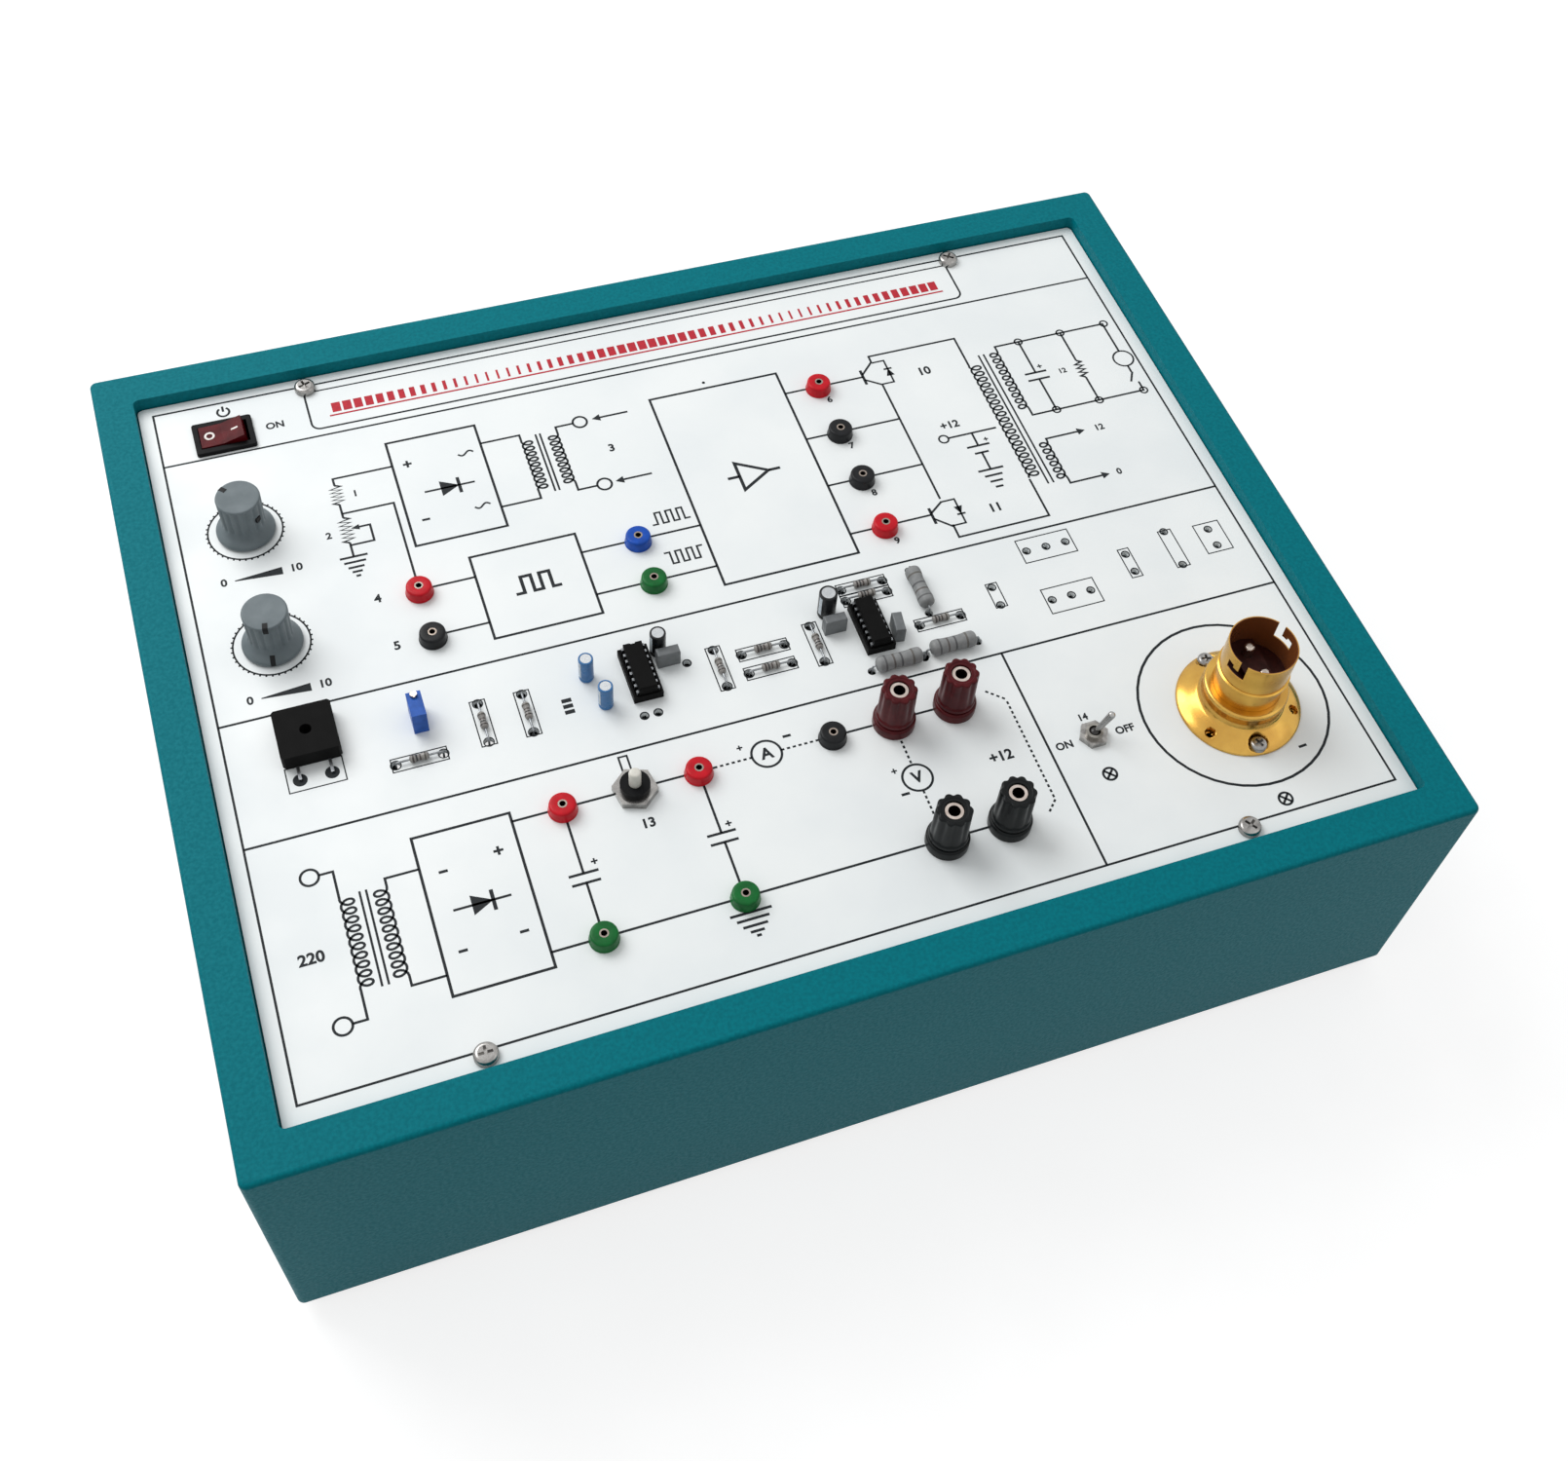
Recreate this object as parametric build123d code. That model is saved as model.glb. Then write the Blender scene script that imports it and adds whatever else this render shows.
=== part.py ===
from build123d import *
from math import cos, radians, sin, sqrt
import os

# Inverter trainer: a demonstration panel in a shallow steel case.
# Millimetres. +X runs to the right of the panel, +Y to its back, +Z up. z = 0 is under the feet.
# Places on the panel are measured from the middle of the case, the edges or a named row.

os.makedirs("parts", exist_ok=True)

# Case and base plate
case_length = 400.0
case_depth = 312.0
case_height = 107.0
sheet = 1.2
case_corner_radius = 2.5
rim_edge_radius = 1.6
rim_width = 13.5
lip_corner_radius = 2.0
recess_depth = 5.0
ledge_width = 12.0
bottom_flange = 15.0
base_thickness = 1.2
base_inset = 0.8

# Feet and the screws under the case
foot_height = 6.0
foot_radius = 10.0
foot_taper = 1.0
foot_inset = 32.0
foot_web = 2.8
base_screw_radius = 1.45
base_screw_head_radius = 2.9
base_screw_head_height = 2.2
base_screw_spacing_inset = 55.0
foot_screw_radius = 1.95
foot_screw_head_radius = 3.8
foot_screw_head_height = 2.6
hole_clearance = 0.2
nut_height_ratio = 0.8
nut_flats_ratio = 1.8
screw_turn = 20.0
screw_turn_step = 35.0

# Vent slots in the base plate
slot_count = 9
slot_length = 46.0
slot_width = 3.0
slot_pitch = 8.0
slot_group_x = 105.0

# Front panel and its screws
panel_thickness = 2.0
panel_gap = 0.5
panel_screw_radius = 1.95
panel_screw_head_radius = 3.8
panel_screw_head_height = 2.5
panel_screw_inset = 5.4
panel_screw_length = 8.0
left_screw_x = -127.0
back_right_screw_x = 129.3
front_right_screw_x = 124.5
cross_recess_width = 0.9
cross_recess_depth = 1.4
cross_recess_ratio = 0.58
head_round_ratio = 0.55

# Rows and columns of the panel's layout
left_column_inset = 27.5
header_row_inset = 20.7
knob_row_back = 76.5
knob_row_front = 26.3
feed_row_front = 63.9
feed_row_pitch = 47.3
print_to_socket = 1.2

# Power rocker switch
switch_bezel_length = 21.0
switch_bezel_width = 15.0
switch_bezel_height = 1.6
switch_bezel_radius = 1.0
switch_bezel_edge = 0.5
switch_body_length = 19.0
switch_body_width = 13.0
switch_body_depth = 18.0
switch_well_length = 17.2
switch_well_width = 10.4
switch_floor = 3.0
rocker_clearance = 0.3
rocker_end_clearance = 0.9
rocker_end_height = 4.0
rocker_dip_height = 2.9
rocker_skirt = 0.9
rocker_keel = 2.6
rocker_keel_half_length = 2.6
rocker_pivot_depth = 2.3
rocker_tilt = 10.0
rocker_pin_radius = 1.0
rocker_pin_reach = 0.75
shaft_clearance = 0.05
bore_end_clearance = 0.2

# Potentiometers and knobs
pot_radius = 8.2
pot_depth = 7.6
pot_bushing_radius = 3.5
pot_bushing_height = 4.4
pot_shaft_radius = 3.0
pot_shaft_seat = 5.0
pot_nut_flats = 10.0
pot_nut_height = 2.0
knob_gap = 0.6
knob_height = 17.4
knob_skirt_radius = 10.0
knob_skirt_height = 1.6
knob_waist_radius = 7.2
knob_waist_height = 4.4
knob_top_radius = 7.5
knob_edge = 0.5
knob_recess_radius = 6.3
knob_recess_clearance = 0.5
knob_flute_count = 16
knob_flute_radius = 0.9
knob_roof = 3.0
knob_screw_radius = 0.9
knob_screw_height = 10.0
voltage_pointer_angle = 133.0
frequency_pointer_angle = 262.0

# Toggle switch for the lamp load
toggle_x = 90.3
toggle_y = -88.8
toggle_bushing_radius = 3.0
toggle_bushing_height = 3.4
toggle_bore_radius = 2.0
toggle_ball_radius = 1.92
toggle_ball_depth = 1.4
toggle_pin_radius = 0.5
toggle_pin_reach = 0.6
toggle_tail = 2.6
toggle_tail_radius = 0.6
toggle_neck_radius = 0.85
toggle_tip_radius = 1.3
toggle_lever_length = 11.0
toggle_lean = 28.0
toggle_body_length = 13.0
toggle_body_width = 8.0
toggle_body_depth = 9.5
toggle_nut_flats = 9.0
toggle_nut_height = 1.9

# Circuit breaker
breaker_x = -60.7
breaker_bushing_radius = 4.9
breaker_bushing_height = 5.0
breaker_nut_flats = 13.0
breaker_nut_height = 2.6
breaker_nut_turn = -19.0
breaker_button_radius = 2.0
breaker_button_height = 11.5
breaker_button_seat = 2.0
breaker_button_round = 0.8
breaker_travel = 4.5
breaker_body_length = 15.0
breaker_body_width = 12.0
breaker_body_depth = 26.0

# Test sockets for 2 mm plugs
socket_radius = 4.8
socket_flange = 0.8
socket_shoulder_radius = 4.6
socket_top_radius = 4.3
socket_height = 4.2
socket_edge = 0.6
socket_contact_radius = 1.5
socket_bore_radius = 1.0
socket_bore_depth = 11.0
socket_contact_length = 14.0
socket_stem_radius = 2.9
socket_stem_length = 5.5
socket_nut_flats = 8.0
socket_nut_height = 2.0
feedback_socket_x = -108.0
output_socket_x = -30.8
gate_socket_x = 55.1
feedback_line_y = 34.4
reference_line_y = 14.2
pulse_line_y = 15.3
gate_1_line_y = 86.0
emitter_1_line_y = 62.2
emitter_2_line_y = 38.8
gate_2_line_y = 15.4
supply_socket_x = -84.4
breaker_socket_x = -39.4
ammeter_socket_x = 6.6

# Binding posts for 4 mm plugs
post_left_x = 28.2
post_pitch = 21.8
post_base_radius = 7.2
post_base_height = 4.2
post_base_bevel = 0.8
post_stud_radius = 3.0
post_stud_height = 19.0
post_bore_radius = 2.0
post_bore_depth = 12.5
post_stud_length_below = 13.0
post_wire_hole_radius = 0.9
post_nut_flats = 10.0
post_nut_height = 3.0
cap_gap = 0.4
cap_collar_radius = 6.5
cap_collar_height = 1.8
cap_top_radius = 6.0
cap_height = 15.3
cap_bore_clearance = 0.3
cap_lobe_count = 10
cap_lobe_cut_radius = 1.6
cap_lobe_cut_depth = 0.7
insert_height = 5.0
insert_wall = 1.2
insert_thread_clearance = 0.08

# Columns of the component strip, counted in hundredths of the panel's length from its middle. Each part
# of the strip stands in a column or at an offset from it, so that parts of one group keep together.
strip_divisions = 100
bridge_column = -41.6
trimmer_column = -32.2
first_resistor_column = -26.95
second_resistor_column = -23.05
blue_can_column = -16.7
control_chip_column = -12.47
third_resistor_column = -5.38
paired_resistor_column = -1.0
fourth_resistor_column = 3.95
driver_chip_column = 9.3

# Bridge rectifier
bridge_y = -14.6
bridge_size = 18.8
bridge_height = 5.7
bridge_standoff = 1.0
bridge_hole_radius = 1.9
bridge_bevel = 0.8
bridge_lead_radius = 0.5
bridge_lead_pitch = 10.2
bridge_front_lead_row = -14.0
bridge_back_lead_row = 6.0

# Trimmer
trimmer_y = -17.6
trimmer_width = 4.8
trimmer_length = 9.5
trimmer_height = 10.0
trimmer_screw_radius = 1.15
trimmer_screw_rise = 1.2
trimmer_screw_depth = 2.5
trimmer_screw_offset = 3.2
trimmer_slot = 0.5

# Resistors: each spot is a column, an offset, y and the angle of the body from +X
resistor_length = 6.5
resistor_radius = 1.25
resistor_waist = 0.2
resistor_lead_run = 4.45
lead_radius = 0.35
lead_gap = 0.15
lead_bend_radius = 1.08
pad_hole_radius = 1.5
resistor_spots = [
    (trimmer_column, -3.0, -32.2, 0), (first_resistor_column, 0, -24.5, 90),
    (second_resistor_column, 0, -25.0, 90), (third_resistor_column, 0, -26.4, 90),
    (paired_resistor_column, 0, -23.4, 0), (paired_resistor_column, 0, -31.4, 0),
    (fourth_resistor_column, 0, -26.4, 90), (driver_chip_column, 24.4, -29.4, 0),
    (driver_chip_column, 3.5, -7.4, 0), (driver_chip_column, 3.5, -12.2, 0)]
power_resistor_length = 17.0
power_resistor_radius = 2.75
power_resistor_lead_run = 1.15
power_resistor_spots = [
    (driver_chip_column, 3.7, -42.6, 0), (driver_chip_column, 23.9, -41.6, 0),
    (driver_chip_column, 21.8, -15.7, 90)]

# Chips in their sockets
chip_pin_count = 16
chip_pin_pitch = 2.54
chip_row_spacing = 7.62
chip_end_margin = 1.27
chip_socket_width = 10.1
chip_socket_height = 3.2
chip_width = 6.4
chip_length_trim = 1.0
chip_rest_width = 3.2
chip_height = 3.3
chip_gap = 0.3
chip_leg_width = 1.0
chip_leg_thickness = 0.3
chip_notch_radius = 1.0
chip_notch_depth = 1.1
chip_shoulder_height = 1.1
chip_channel_width = 4.6
chip_pin_depth = 1.6
chip_bevel = 0.5
chip_spots = [(control_chip_column, 0, -21.7), (driver_chip_column, 0, -26.0)]

# Capacitors
small_can_radius = 2.5
small_can_height = 11.0
blue_can_spots = [(blue_can_column, -1.5, -17.0), (blue_can_column, 1.7, -29.3)]
black_can_radius = 2.75
black_can_height = 11.0
black_can_spots = [(control_chip_column, 8.4, -13.8)]
large_can_radius = 3.2
large_can_height = 12.0
large_can_spots = [(driver_chip_column, -12.6, -15.2)]
can_edge = 0.5
can_vent_depth = 0.25
can_vent_ratio = 0.6
can_groove_rise = 1.2
box_cap_length = 7.8
box_cap_width = 3.5
box_cap_height = 7.0
box_cap_edge = 0.5
box_cap_spots = [
    (control_chip_column, 10.4, -18.9, 0), (driver_chip_column, -12.3, -22.4, 0),
    (driver_chip_column, 8.0, -30.0, 82)]

# Empty drilled positions at the right of the component strip
drill_radius = 1.2
drill_spots = [
    (22.0, 0, -21.4), (26.95, 0, -9.9), (26.95, 0, -32.6), (36.08, 0, -21.5), (40.95, 0, -16.0),
    (45.32, 0, -19.6), (control_chip_column, 16.4, -21.2), (control_chip_column, -3.2, -37.3)]
drill_steps = [(0, -8.0), (7.65, 0), (7.5, 0), (0, -8.0), (0, -15.7), (0, -7.6), (1, 0), (4.7, 0)]
drill_hole_counts = [2, 3, 3, 2, 2, 2, 1, 2]

# Bayonet lampholder
lamp_right_inset = 42.3
lamp_front_inset = 50.6
lamp_flange_radius = 21.5
lamp_flange_edge = 0.9
lamp_wall = 1.1
lamp_step_radius = 16.6
lamp_step_height = 3.4
lamp_shoulder_radius = 14.2
lamp_shoulder_height = 5.1
lamp_collar_height = 6.8
lamp_neck_radius = 13.6
lamp_neck_height = 9.4
lamp_ring_radius = 14.5
lamp_ring_height = 2.8
lamp_ring_round = 1.1
lamp_bore_radius = 11.15
lamp_shell_wall = 0.5
lamp_shell_seat = 3.0
lamp_bead_height = 21.0
lamp_bead_width = 1.4
lamp_bead_rise = 0.6
lamp_height = 34.0
lamp_insulator_depth = 12.0
lamp_insulator_height = 13.0
lamp_bridge_height = 2.4
lamp_bridge_width = 9.0
lamp_slot_width = 2.6
lamp_slot_drop = 7.2
lamp_slot_turn = 24.0
lamp_slot_hook = 1.2
lamp_slot_angle = 29.0
lamp_contact_pitch = 11.0
lamp_contact_radius = 1.9
lamp_contact_rise = 4.2
lamp_contact_seat = 4.0
lamp_contact_travel = 3.4
lamp_contact_round = 1.1
lamp_screw_circle = 18.4
lamp_screw_angles = (-97.0, 102.0)
lamp_spare_angles = (-31.0, 210.0)
lamp_screw_seat = 1.5
lamp_screw_radius = 1.5
lamp_screw_head_radius = 2.9
lamp_screw_head_height = 2.1
lamp_wire_hole_radius = 7.0

# Mains inlet in the back wall
inlet_x = -120.0
inlet_above_base = 48.0
inlet_flange_length = 31.0
inlet_flange_height = 24.0
inlet_flange_thickness = 2.6
inlet_flange_radius = 2.0
inlet_body_length = 27.4
inlet_body_height = 19.8
inlet_body_depth = 19.0
inlet_mouth_length = 24.2
inlet_mouth_height = 16.2
inlet_mouth_depth = 17.0
inlet_mouth_bevel = 4.5
inlet_pin_width = 2.0
inlet_pin_height = 4.0
inlet_pin_pitch = 14.0
inlet_pin_offset = 2.0
inlet_pin_rise = 4.0
inlet_pin_setback = 1.5
inlet_tab_length = 8.0

# Transformers on the base plate
lamination_leg = 11.0
winding_overhang = 6.0
winding_round = 3.0
mains_core_x = -118.0
mains_core_y = -92.0
mains_core_length = 66.0
mains_core_stack = 32.0
mains_core_height = 55.0
inverter_core_x = 122.0
inverter_core_y = 62.0
inverter_core_length = 76.0
inverter_core_stack = 36.0
inverter_core_height = 63.0

# Circuit board under the component strip
board_x = 28.0
board_y = -18.0
board_length = 170.0
board_width = 84.0
board_thickness = 1.6
board_corner_inset = 5.0
standoff_height = 10.0
standoff_flats = 6.0
sink_length = 40.0
sink_width = 20.0
sink_height = 32.0
sink_base = 4.0
sink_fin = 1.6
sink_fin_count = 6
sink_places = [(-45.0, 18.0), (15.0, 18.0)]
filter_can_radius = 9.0
filter_can_height = 30.0
filter_can_places = [(-60.0, -22.0), (-36.0, -22.0), (50.0, -22.0)]

# Tabs and pins that hang below the panel
tab_width = 4.8
tab_thickness = 0.8
tab_length = 7.0
tab_pitch = 7.0
pin_tab_width = 2.0
pin_tab_length = 5.0

# Levels and places that follow from the sizes above
base_top = foot_height + base_thickness
case_top = foot_height + case_height
panel_top = case_top - recess_depth
panel_bottom = panel_top - panel_thickness
ledge_bottom = panel_bottom - sheet
opening_length = case_length - 2 * rim_width
opening_depth = case_depth - 2 * rim_width
panel_length = opening_length - 2 * panel_gap
panel_depth = opening_depth - 2 * panel_gap
left_column_x = -panel_length / 2 + left_column_inset
strip_pitch = panel_length / strip_divisions
bridge_x = bridge_column * strip_pitch
trimmer_x = trimmer_column * strip_pitch
header_row_y = panel_depth / 2 - header_row_inset
feed_row_y = -feed_row_front
output_row_y = feed_row_y - feed_row_pitch
lamp_x = panel_length / 2 - lamp_right_inset
lamp_y = -panel_depth / 2 + lamp_front_inset
inlet_z = base_top + inlet_above_base
plan_shift_y = -inlet_flange_thickness / 2
rocker_pivot_z = panel_top + switch_bezel_height - rocker_pivot_depth
toggle_ball_z = panel_top + toggle_bushing_height - toggle_ball_depth
cap_bottom = panel_top + post_base_height + cap_gap
lamp_insulator_top = panel_top + lamp_height - lamp_insulator_depth
knob_bottom = panel_top + knob_gap
chip_length = chip_pin_count / 2 * chip_pin_pitch
board_top = base_top + standoff_height + board_thickness

post_places = {
    "red_left": (post_left_x, feed_row_y),
    "red_right": (post_left_x + post_pitch, feed_row_y),
    "black_left": (post_left_x, output_row_y),
    "black_right": (post_left_x + post_pitch, output_row_y)}

socket_places = {
    "red": [
        (feedback_socket_x, feedback_line_y - print_to_socket),
        (gate_socket_x, gate_1_line_y - print_to_socket),
        (gate_socket_x, gate_2_line_y - print_to_socket),
        (supply_socket_x, feed_row_y),
        (breaker_socket_x, feed_row_y)],
    "black": [
        (feedback_socket_x, reference_line_y - print_to_socket),
        (gate_socket_x, emitter_1_line_y - print_to_socket),
        (gate_socket_x, emitter_2_line_y - print_to_socket),
        (ammeter_socket_x, feed_row_y)],
    "green": [
        (output_socket_x, pulse_line_y - print_to_socket),
        (supply_socket_x, output_row_y),
        (breaker_socket_x, output_row_y)],
    "blue": [(output_socket_x, feedback_line_y - print_to_socket)]}
all_socket_places = [place for places in socket_places.values() for place in places]

lamp_contact_places = {
    "front": (lamp_x, lamp_y - lamp_contact_pitch / 2),
    "back": (lamp_x, lamp_y + lamp_contact_pitch / 2)}

knob_places = {
    "voltage": (left_column_x, knob_row_back, voltage_pointer_angle),
    "frequency": (left_column_x, knob_row_front, frequency_pointer_angle)}

transformer_places = [
    (mains_core_x, mains_core_y, mains_core_length, mains_core_stack, mains_core_height),
    (inverter_core_x, inverter_core_y, inverter_core_length, inverter_core_stack, inverter_core_height)]

panel_screw_places = [
    (left_screw_x, panel_depth / 2 - panel_screw_inset),
    (back_right_screw_x, panel_depth / 2 - panel_screw_inset),
    (left_screw_x, -panel_depth / 2 + panel_screw_inset),
    (front_right_screw_x, -panel_depth / 2 + panel_screw_inset)]

def on_strip(spots):
    """Spots of the strip with their column and offset turned into x."""
    return [(column * strip_pitch + offset, *rest) for column, offset, *rest in spots]


resistor_places = on_strip(resistor_spots)
resistor_lead_reach = resistor_length / 2 + resistor_lead_run
power_resistor_places = on_strip(power_resistor_spots)
power_resistor_lead_reach = power_resistor_length / 2 + power_resistor_lead_run

foot_places = [
    (sx * (case_length / 2 - foot_inset), sy * (case_depth / 2 - foot_inset))
    for sx in (-1, 1) for sy in (-1, 1)]

base_screw_places = [
    (sx * (case_length / 2 - base_screw_spacing_inset), sy * (case_depth - bottom_flange) / 2)
    for sx in (-1, 1) for sy in (-1, 1)]
base_screw_places += [
    (sx * (case_length - bottom_flange) / 2, sy * (case_depth / 2 - base_screw_spacing_inset))
    for sx in (-1, 1) for sy in (-1, 1)]


# Shared shapes

def block(length, width, height, x, y, z):
    """A box centred on x, y with its underside at z."""
    return Pos(x, y, z + height / 2) * Box(length, width, height)


def rounded_block(length, width, radius, z, height):
    """A prism with rounded upright corners, centred on the case."""
    return Pos(0, 0, z) * extrude(RectangleRounded(length, width, radius), height)


def rod(radius, height, x, y, z):
    """An upright cylinder from z upwards."""
    return Pos(x, y, z + height / 2) * Cylinder(radius, height)


def turned(profile, x, y, z):
    """A turned solid from (radius, height) points, standing at x, y, z."""
    face = make_face(Plane.XZ * Polyline(*profile, close=True))
    return Pos(x, y, z) * revolve(face, Axis.Z)


def polar(x, y, radius, angle):
    """The point at a radius and an angle in degrees round x, y."""
    return x + radius * cos(radians(angle)), y + radius * sin(radians(angle))


def group(shapes):
    """One compound that keeps every solid apart."""
    return Compound([solid for shape in shapes for solid in shape.solids()])


def screw_nut(screw_radius, x, y, z):
    """The nut of a screw, in proportion to its thread."""
    flats = 2 * screw_radius * nut_flats_ratio
    return hex_nut(flats, 2 * screw_radius * nut_height_ratio, screw_radius, x, y, z)


def hex_nut(flats, height, bore_radius, x, y, z, turn=0.0):
    """A plain nut, its underside at z."""
    outline = Rot(0, 0, turn) * RegularPolygon(flats / sqrt(3), 6) - Circle(bore_radius)
    return Pos(x, y, z) * extrude(outline, height)


def pan_screw(head_radius, head_height, shank_radius, length, turn):
    """A pan head screw pointing down, its head standing on z = 0, with a cross recess."""
    head = rod(head_radius, head_height, 0, 0, 0)
    rim = head.edges().filter_by(GeomType.CIRCLE).sort_by(Axis.Z)[-1]
    head = fillet(rim, head_height * head_round_ratio)
    recess_length = 2 * head_radius * cross_recess_ratio
    for angle in (turn, turn + 90):
        bar = block(recess_length, cross_recess_width, cross_recess_depth, 0, 0,
                    head_height - cross_recess_depth)
        head -= Rot(0, 0, angle) * bar
    return head + rod(shank_radius, length, 0, 0, -length)


# Case, base plate, feet

def case_shell():
    """Walls, rim, return lip, ledge under the panel and bottom flange, folded from one sheet."""
    wall_height = case_top - base_top
    outer = rounded_block(case_length, case_depth, case_corner_radius, base_top, wall_height)
    outer = fillet(outer.edges().group_by(Axis.Z)[-1], rim_edge_radius)
    cavity = rounded_block(case_length - 2 * sheet, case_depth - 2 * sheet,
                           case_corner_radius - sheet, base_top + sheet, wall_height - 2 * sheet)
    bottom_hole = rounded_block(case_length - 2 * bottom_flange, case_depth - 2 * bottom_flange,
                                lip_corner_radius, base_top, sheet)
    lip_height = case_top - ledge_bottom
    lip = rounded_block(opening_length + 2 * sheet, opening_depth + 2 * sheet,
                        lip_corner_radius + sheet, ledge_bottom, lip_height)
    opening = rounded_block(opening_length, opening_depth, lip_corner_radius,
                            panel_bottom, case_top - panel_bottom)
    ledge_hole = rounded_block(opening_length - 2 * ledge_width, opening_depth - 2 * ledge_width,
                               lip_corner_radius, ledge_bottom, sheet)
    shell = outer - cavity - bottom_hole
    shell = shell + (lip - ledge_hole) - opening
    for x, y in panel_screw_places:
        shell -= rod(panel_screw_radius + hole_clearance, sheet, x, y, ledge_bottom)
    for x, y in base_screw_places:
        shell -= rod(base_screw_radius + hole_clearance, sheet, x, y, base_top)
    shell -= block(inlet_body_length + 2 * hole_clearance, 3 * sheet,
                   inlet_body_height + 2 * hole_clearance, inlet_x, case_depth / 2,
                   inlet_z - inlet_body_height / 2 - hole_clearance)
    return shell


def base_plate():
    """Flat plate under the case with two groups of vent slots."""
    plate = rounded_block(case_length - 2 * base_inset, case_depth - 2 * base_inset,
                          case_corner_radius, foot_height, base_thickness)
    for x, y in base_screw_places:
        plate -= rod(base_screw_radius + hole_clearance, base_thickness, x, y, foot_height)
    for x, y in foot_places:
        plate -= rod(foot_screw_radius, base_thickness, x, y, foot_height)
    slot = Pos(0, 0, foot_height) * extrude(SlotOverall(slot_length, slot_width), base_thickness)
    first = -(slot_count - 1) * slot_pitch / 2
    for side in (-1, 1):
        for row in range(slot_count):
            plate -= Pos(side * slot_group_x, first + row * slot_pitch, 0) * slot
    return plate


def rubber_feet():
    """Four tapered feet, each with a pocket for its screw head."""
    pocket_radius = foot_screw_head_radius + hole_clearance
    profile = [
        (foot_screw_radius, foot_height - foot_web), (pocket_radius, foot_height - foot_web),
        (pocket_radius, 0), (foot_radius - foot_taper, 0), (foot_radius, foot_height),
        (foot_screw_radius, foot_height)]
    return group(turned(profile, x, y, 0) for x, y in foot_places)


def base_screws():
    """Screws from below through the base plate and the feet, each with its nut inside."""
    shank = base_thickness + sheet + base_screw_radius * 2 * nut_height_ratio
    screw = Rot(180, 0, 0) * pan_screw(
        base_screw_head_radius, base_screw_head_height, base_screw_radius, shank, screw_turn)
    shapes = [Pos(x, y, foot_height) * screw for x, y in base_screw_places]
    shapes += [screw_nut(base_screw_radius, x, y, base_top + sheet) for x, y in base_screw_places]
    foot_shank = foot_web + base_thickness + foot_screw_radius * 2 * nut_height_ratio
    foot_screw = Rot(180, 0, 0) * pan_screw(
        foot_screw_head_radius, foot_screw_head_height, foot_screw_radius, foot_shank, screw_turn_step)
    shapes += [Pos(x, y, foot_height - foot_web) * foot_screw for x, y in foot_places]
    shapes += [screw_nut(foot_screw_radius, x, y, base_top) for x, y in foot_places]
    return group(shapes)


# Panel

def lead_hole_places():
    """Every small hole in the panel that a component lead goes through."""
    places = []
    for x, y, angle in resistor_places:
        places += [polar(x, y, side * resistor_lead_reach, angle) for side in (-1, 1)]
    for x, y, angle in power_resistor_places:
        places += [polar(x, y, side * power_resistor_lead_reach, angle) for side in (-1, 1)]
    return places


def bridge_lead_places():
    """The four leads of the bridge rectifier: two run out at its front, two go down under it."""
    return [(bridge_x + side * bridge_lead_pitch / 2, bridge_y + row)
            for side in (-1, 1) for row in (bridge_front_lead_row, bridge_back_lead_row)]


def drilled_places():
    """The empty positions: rows of holes from a first hole, a step and a count."""
    return [(x + step * dx, y + step * dy)
            for (x, y), (dx, dy), count in zip(on_strip(drill_spots), drill_steps, drill_hole_counts)
            for step in range(count)]


def can_places():
    """Every upright can on the panel: x, y, radius, height."""
    rows = [(blue_can_spots, small_can_radius, small_can_height),
            (black_can_spots, black_can_radius, black_can_height),
            (large_can_spots, large_can_radius, large_can_height)]
    return [(*place, radius, height) for spots, radius, height in rows for place in on_strip(spots)]


def front_panel():
    """The printed panel with an opening for each thing that stands in it."""
    panel = rounded_block(panel_length, panel_depth, lip_corner_radius, panel_bottom, panel_thickness)
    round_holes = [(x, y, panel_screw_radius + hole_clearance) for x, y in panel_screw_places]
    round_holes += [(x, y, pot_bushing_radius + hole_clearance) for x, y, angle in knob_places.values()]
    round_holes.append((toggle_x, toggle_y, toggle_bushing_radius + hole_clearance))
    round_holes.append((breaker_x, feed_row_y, breaker_bushing_radius + hole_clearance))
    round_holes += [(x, y, socket_stem_radius + hole_clearance) for x, y in all_socket_places]
    round_holes += [(x, y, post_stud_radius + hole_clearance) for x, y in post_places.values()]
    round_holes += [(x, y, pad_hole_radius) for x, y in lead_hole_places()]
    round_holes += [(x, y, pad_hole_radius) for x, y in bridge_lead_places()]
    round_holes += [(x, y, drill_radius) for x, y in drilled_places()]
    round_holes.append((lamp_x, lamp_y, lamp_wire_hole_radius))
    round_holes += [(*polar(lamp_x, lamp_y, lamp_screw_circle, angle), lamp_screw_radius)
                    for angle in lamp_screw_angles]
    cutters = [rod(radius, panel_thickness, x, y, panel_bottom) for x, y, radius in round_holes]
    cutters.append(block(switch_body_length + 2 * hole_clearance, switch_body_width + 2 * hole_clearance,
                         panel_thickness, left_column_x, header_row_y, panel_bottom))
    return panel - cutters


def panel_screws():
    """Four pan head screws that hold the panel down on the ledge."""
    shapes = []
    for index, (x, y) in enumerate(panel_screw_places):
        screw = pan_screw(panel_screw_head_radius, panel_screw_head_height, panel_screw_radius,
                          panel_screw_length, screw_turn + screw_turn_step * index)
        shapes.append(Pos(x, y, panel_top) * screw)
    return group(shapes)


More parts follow.
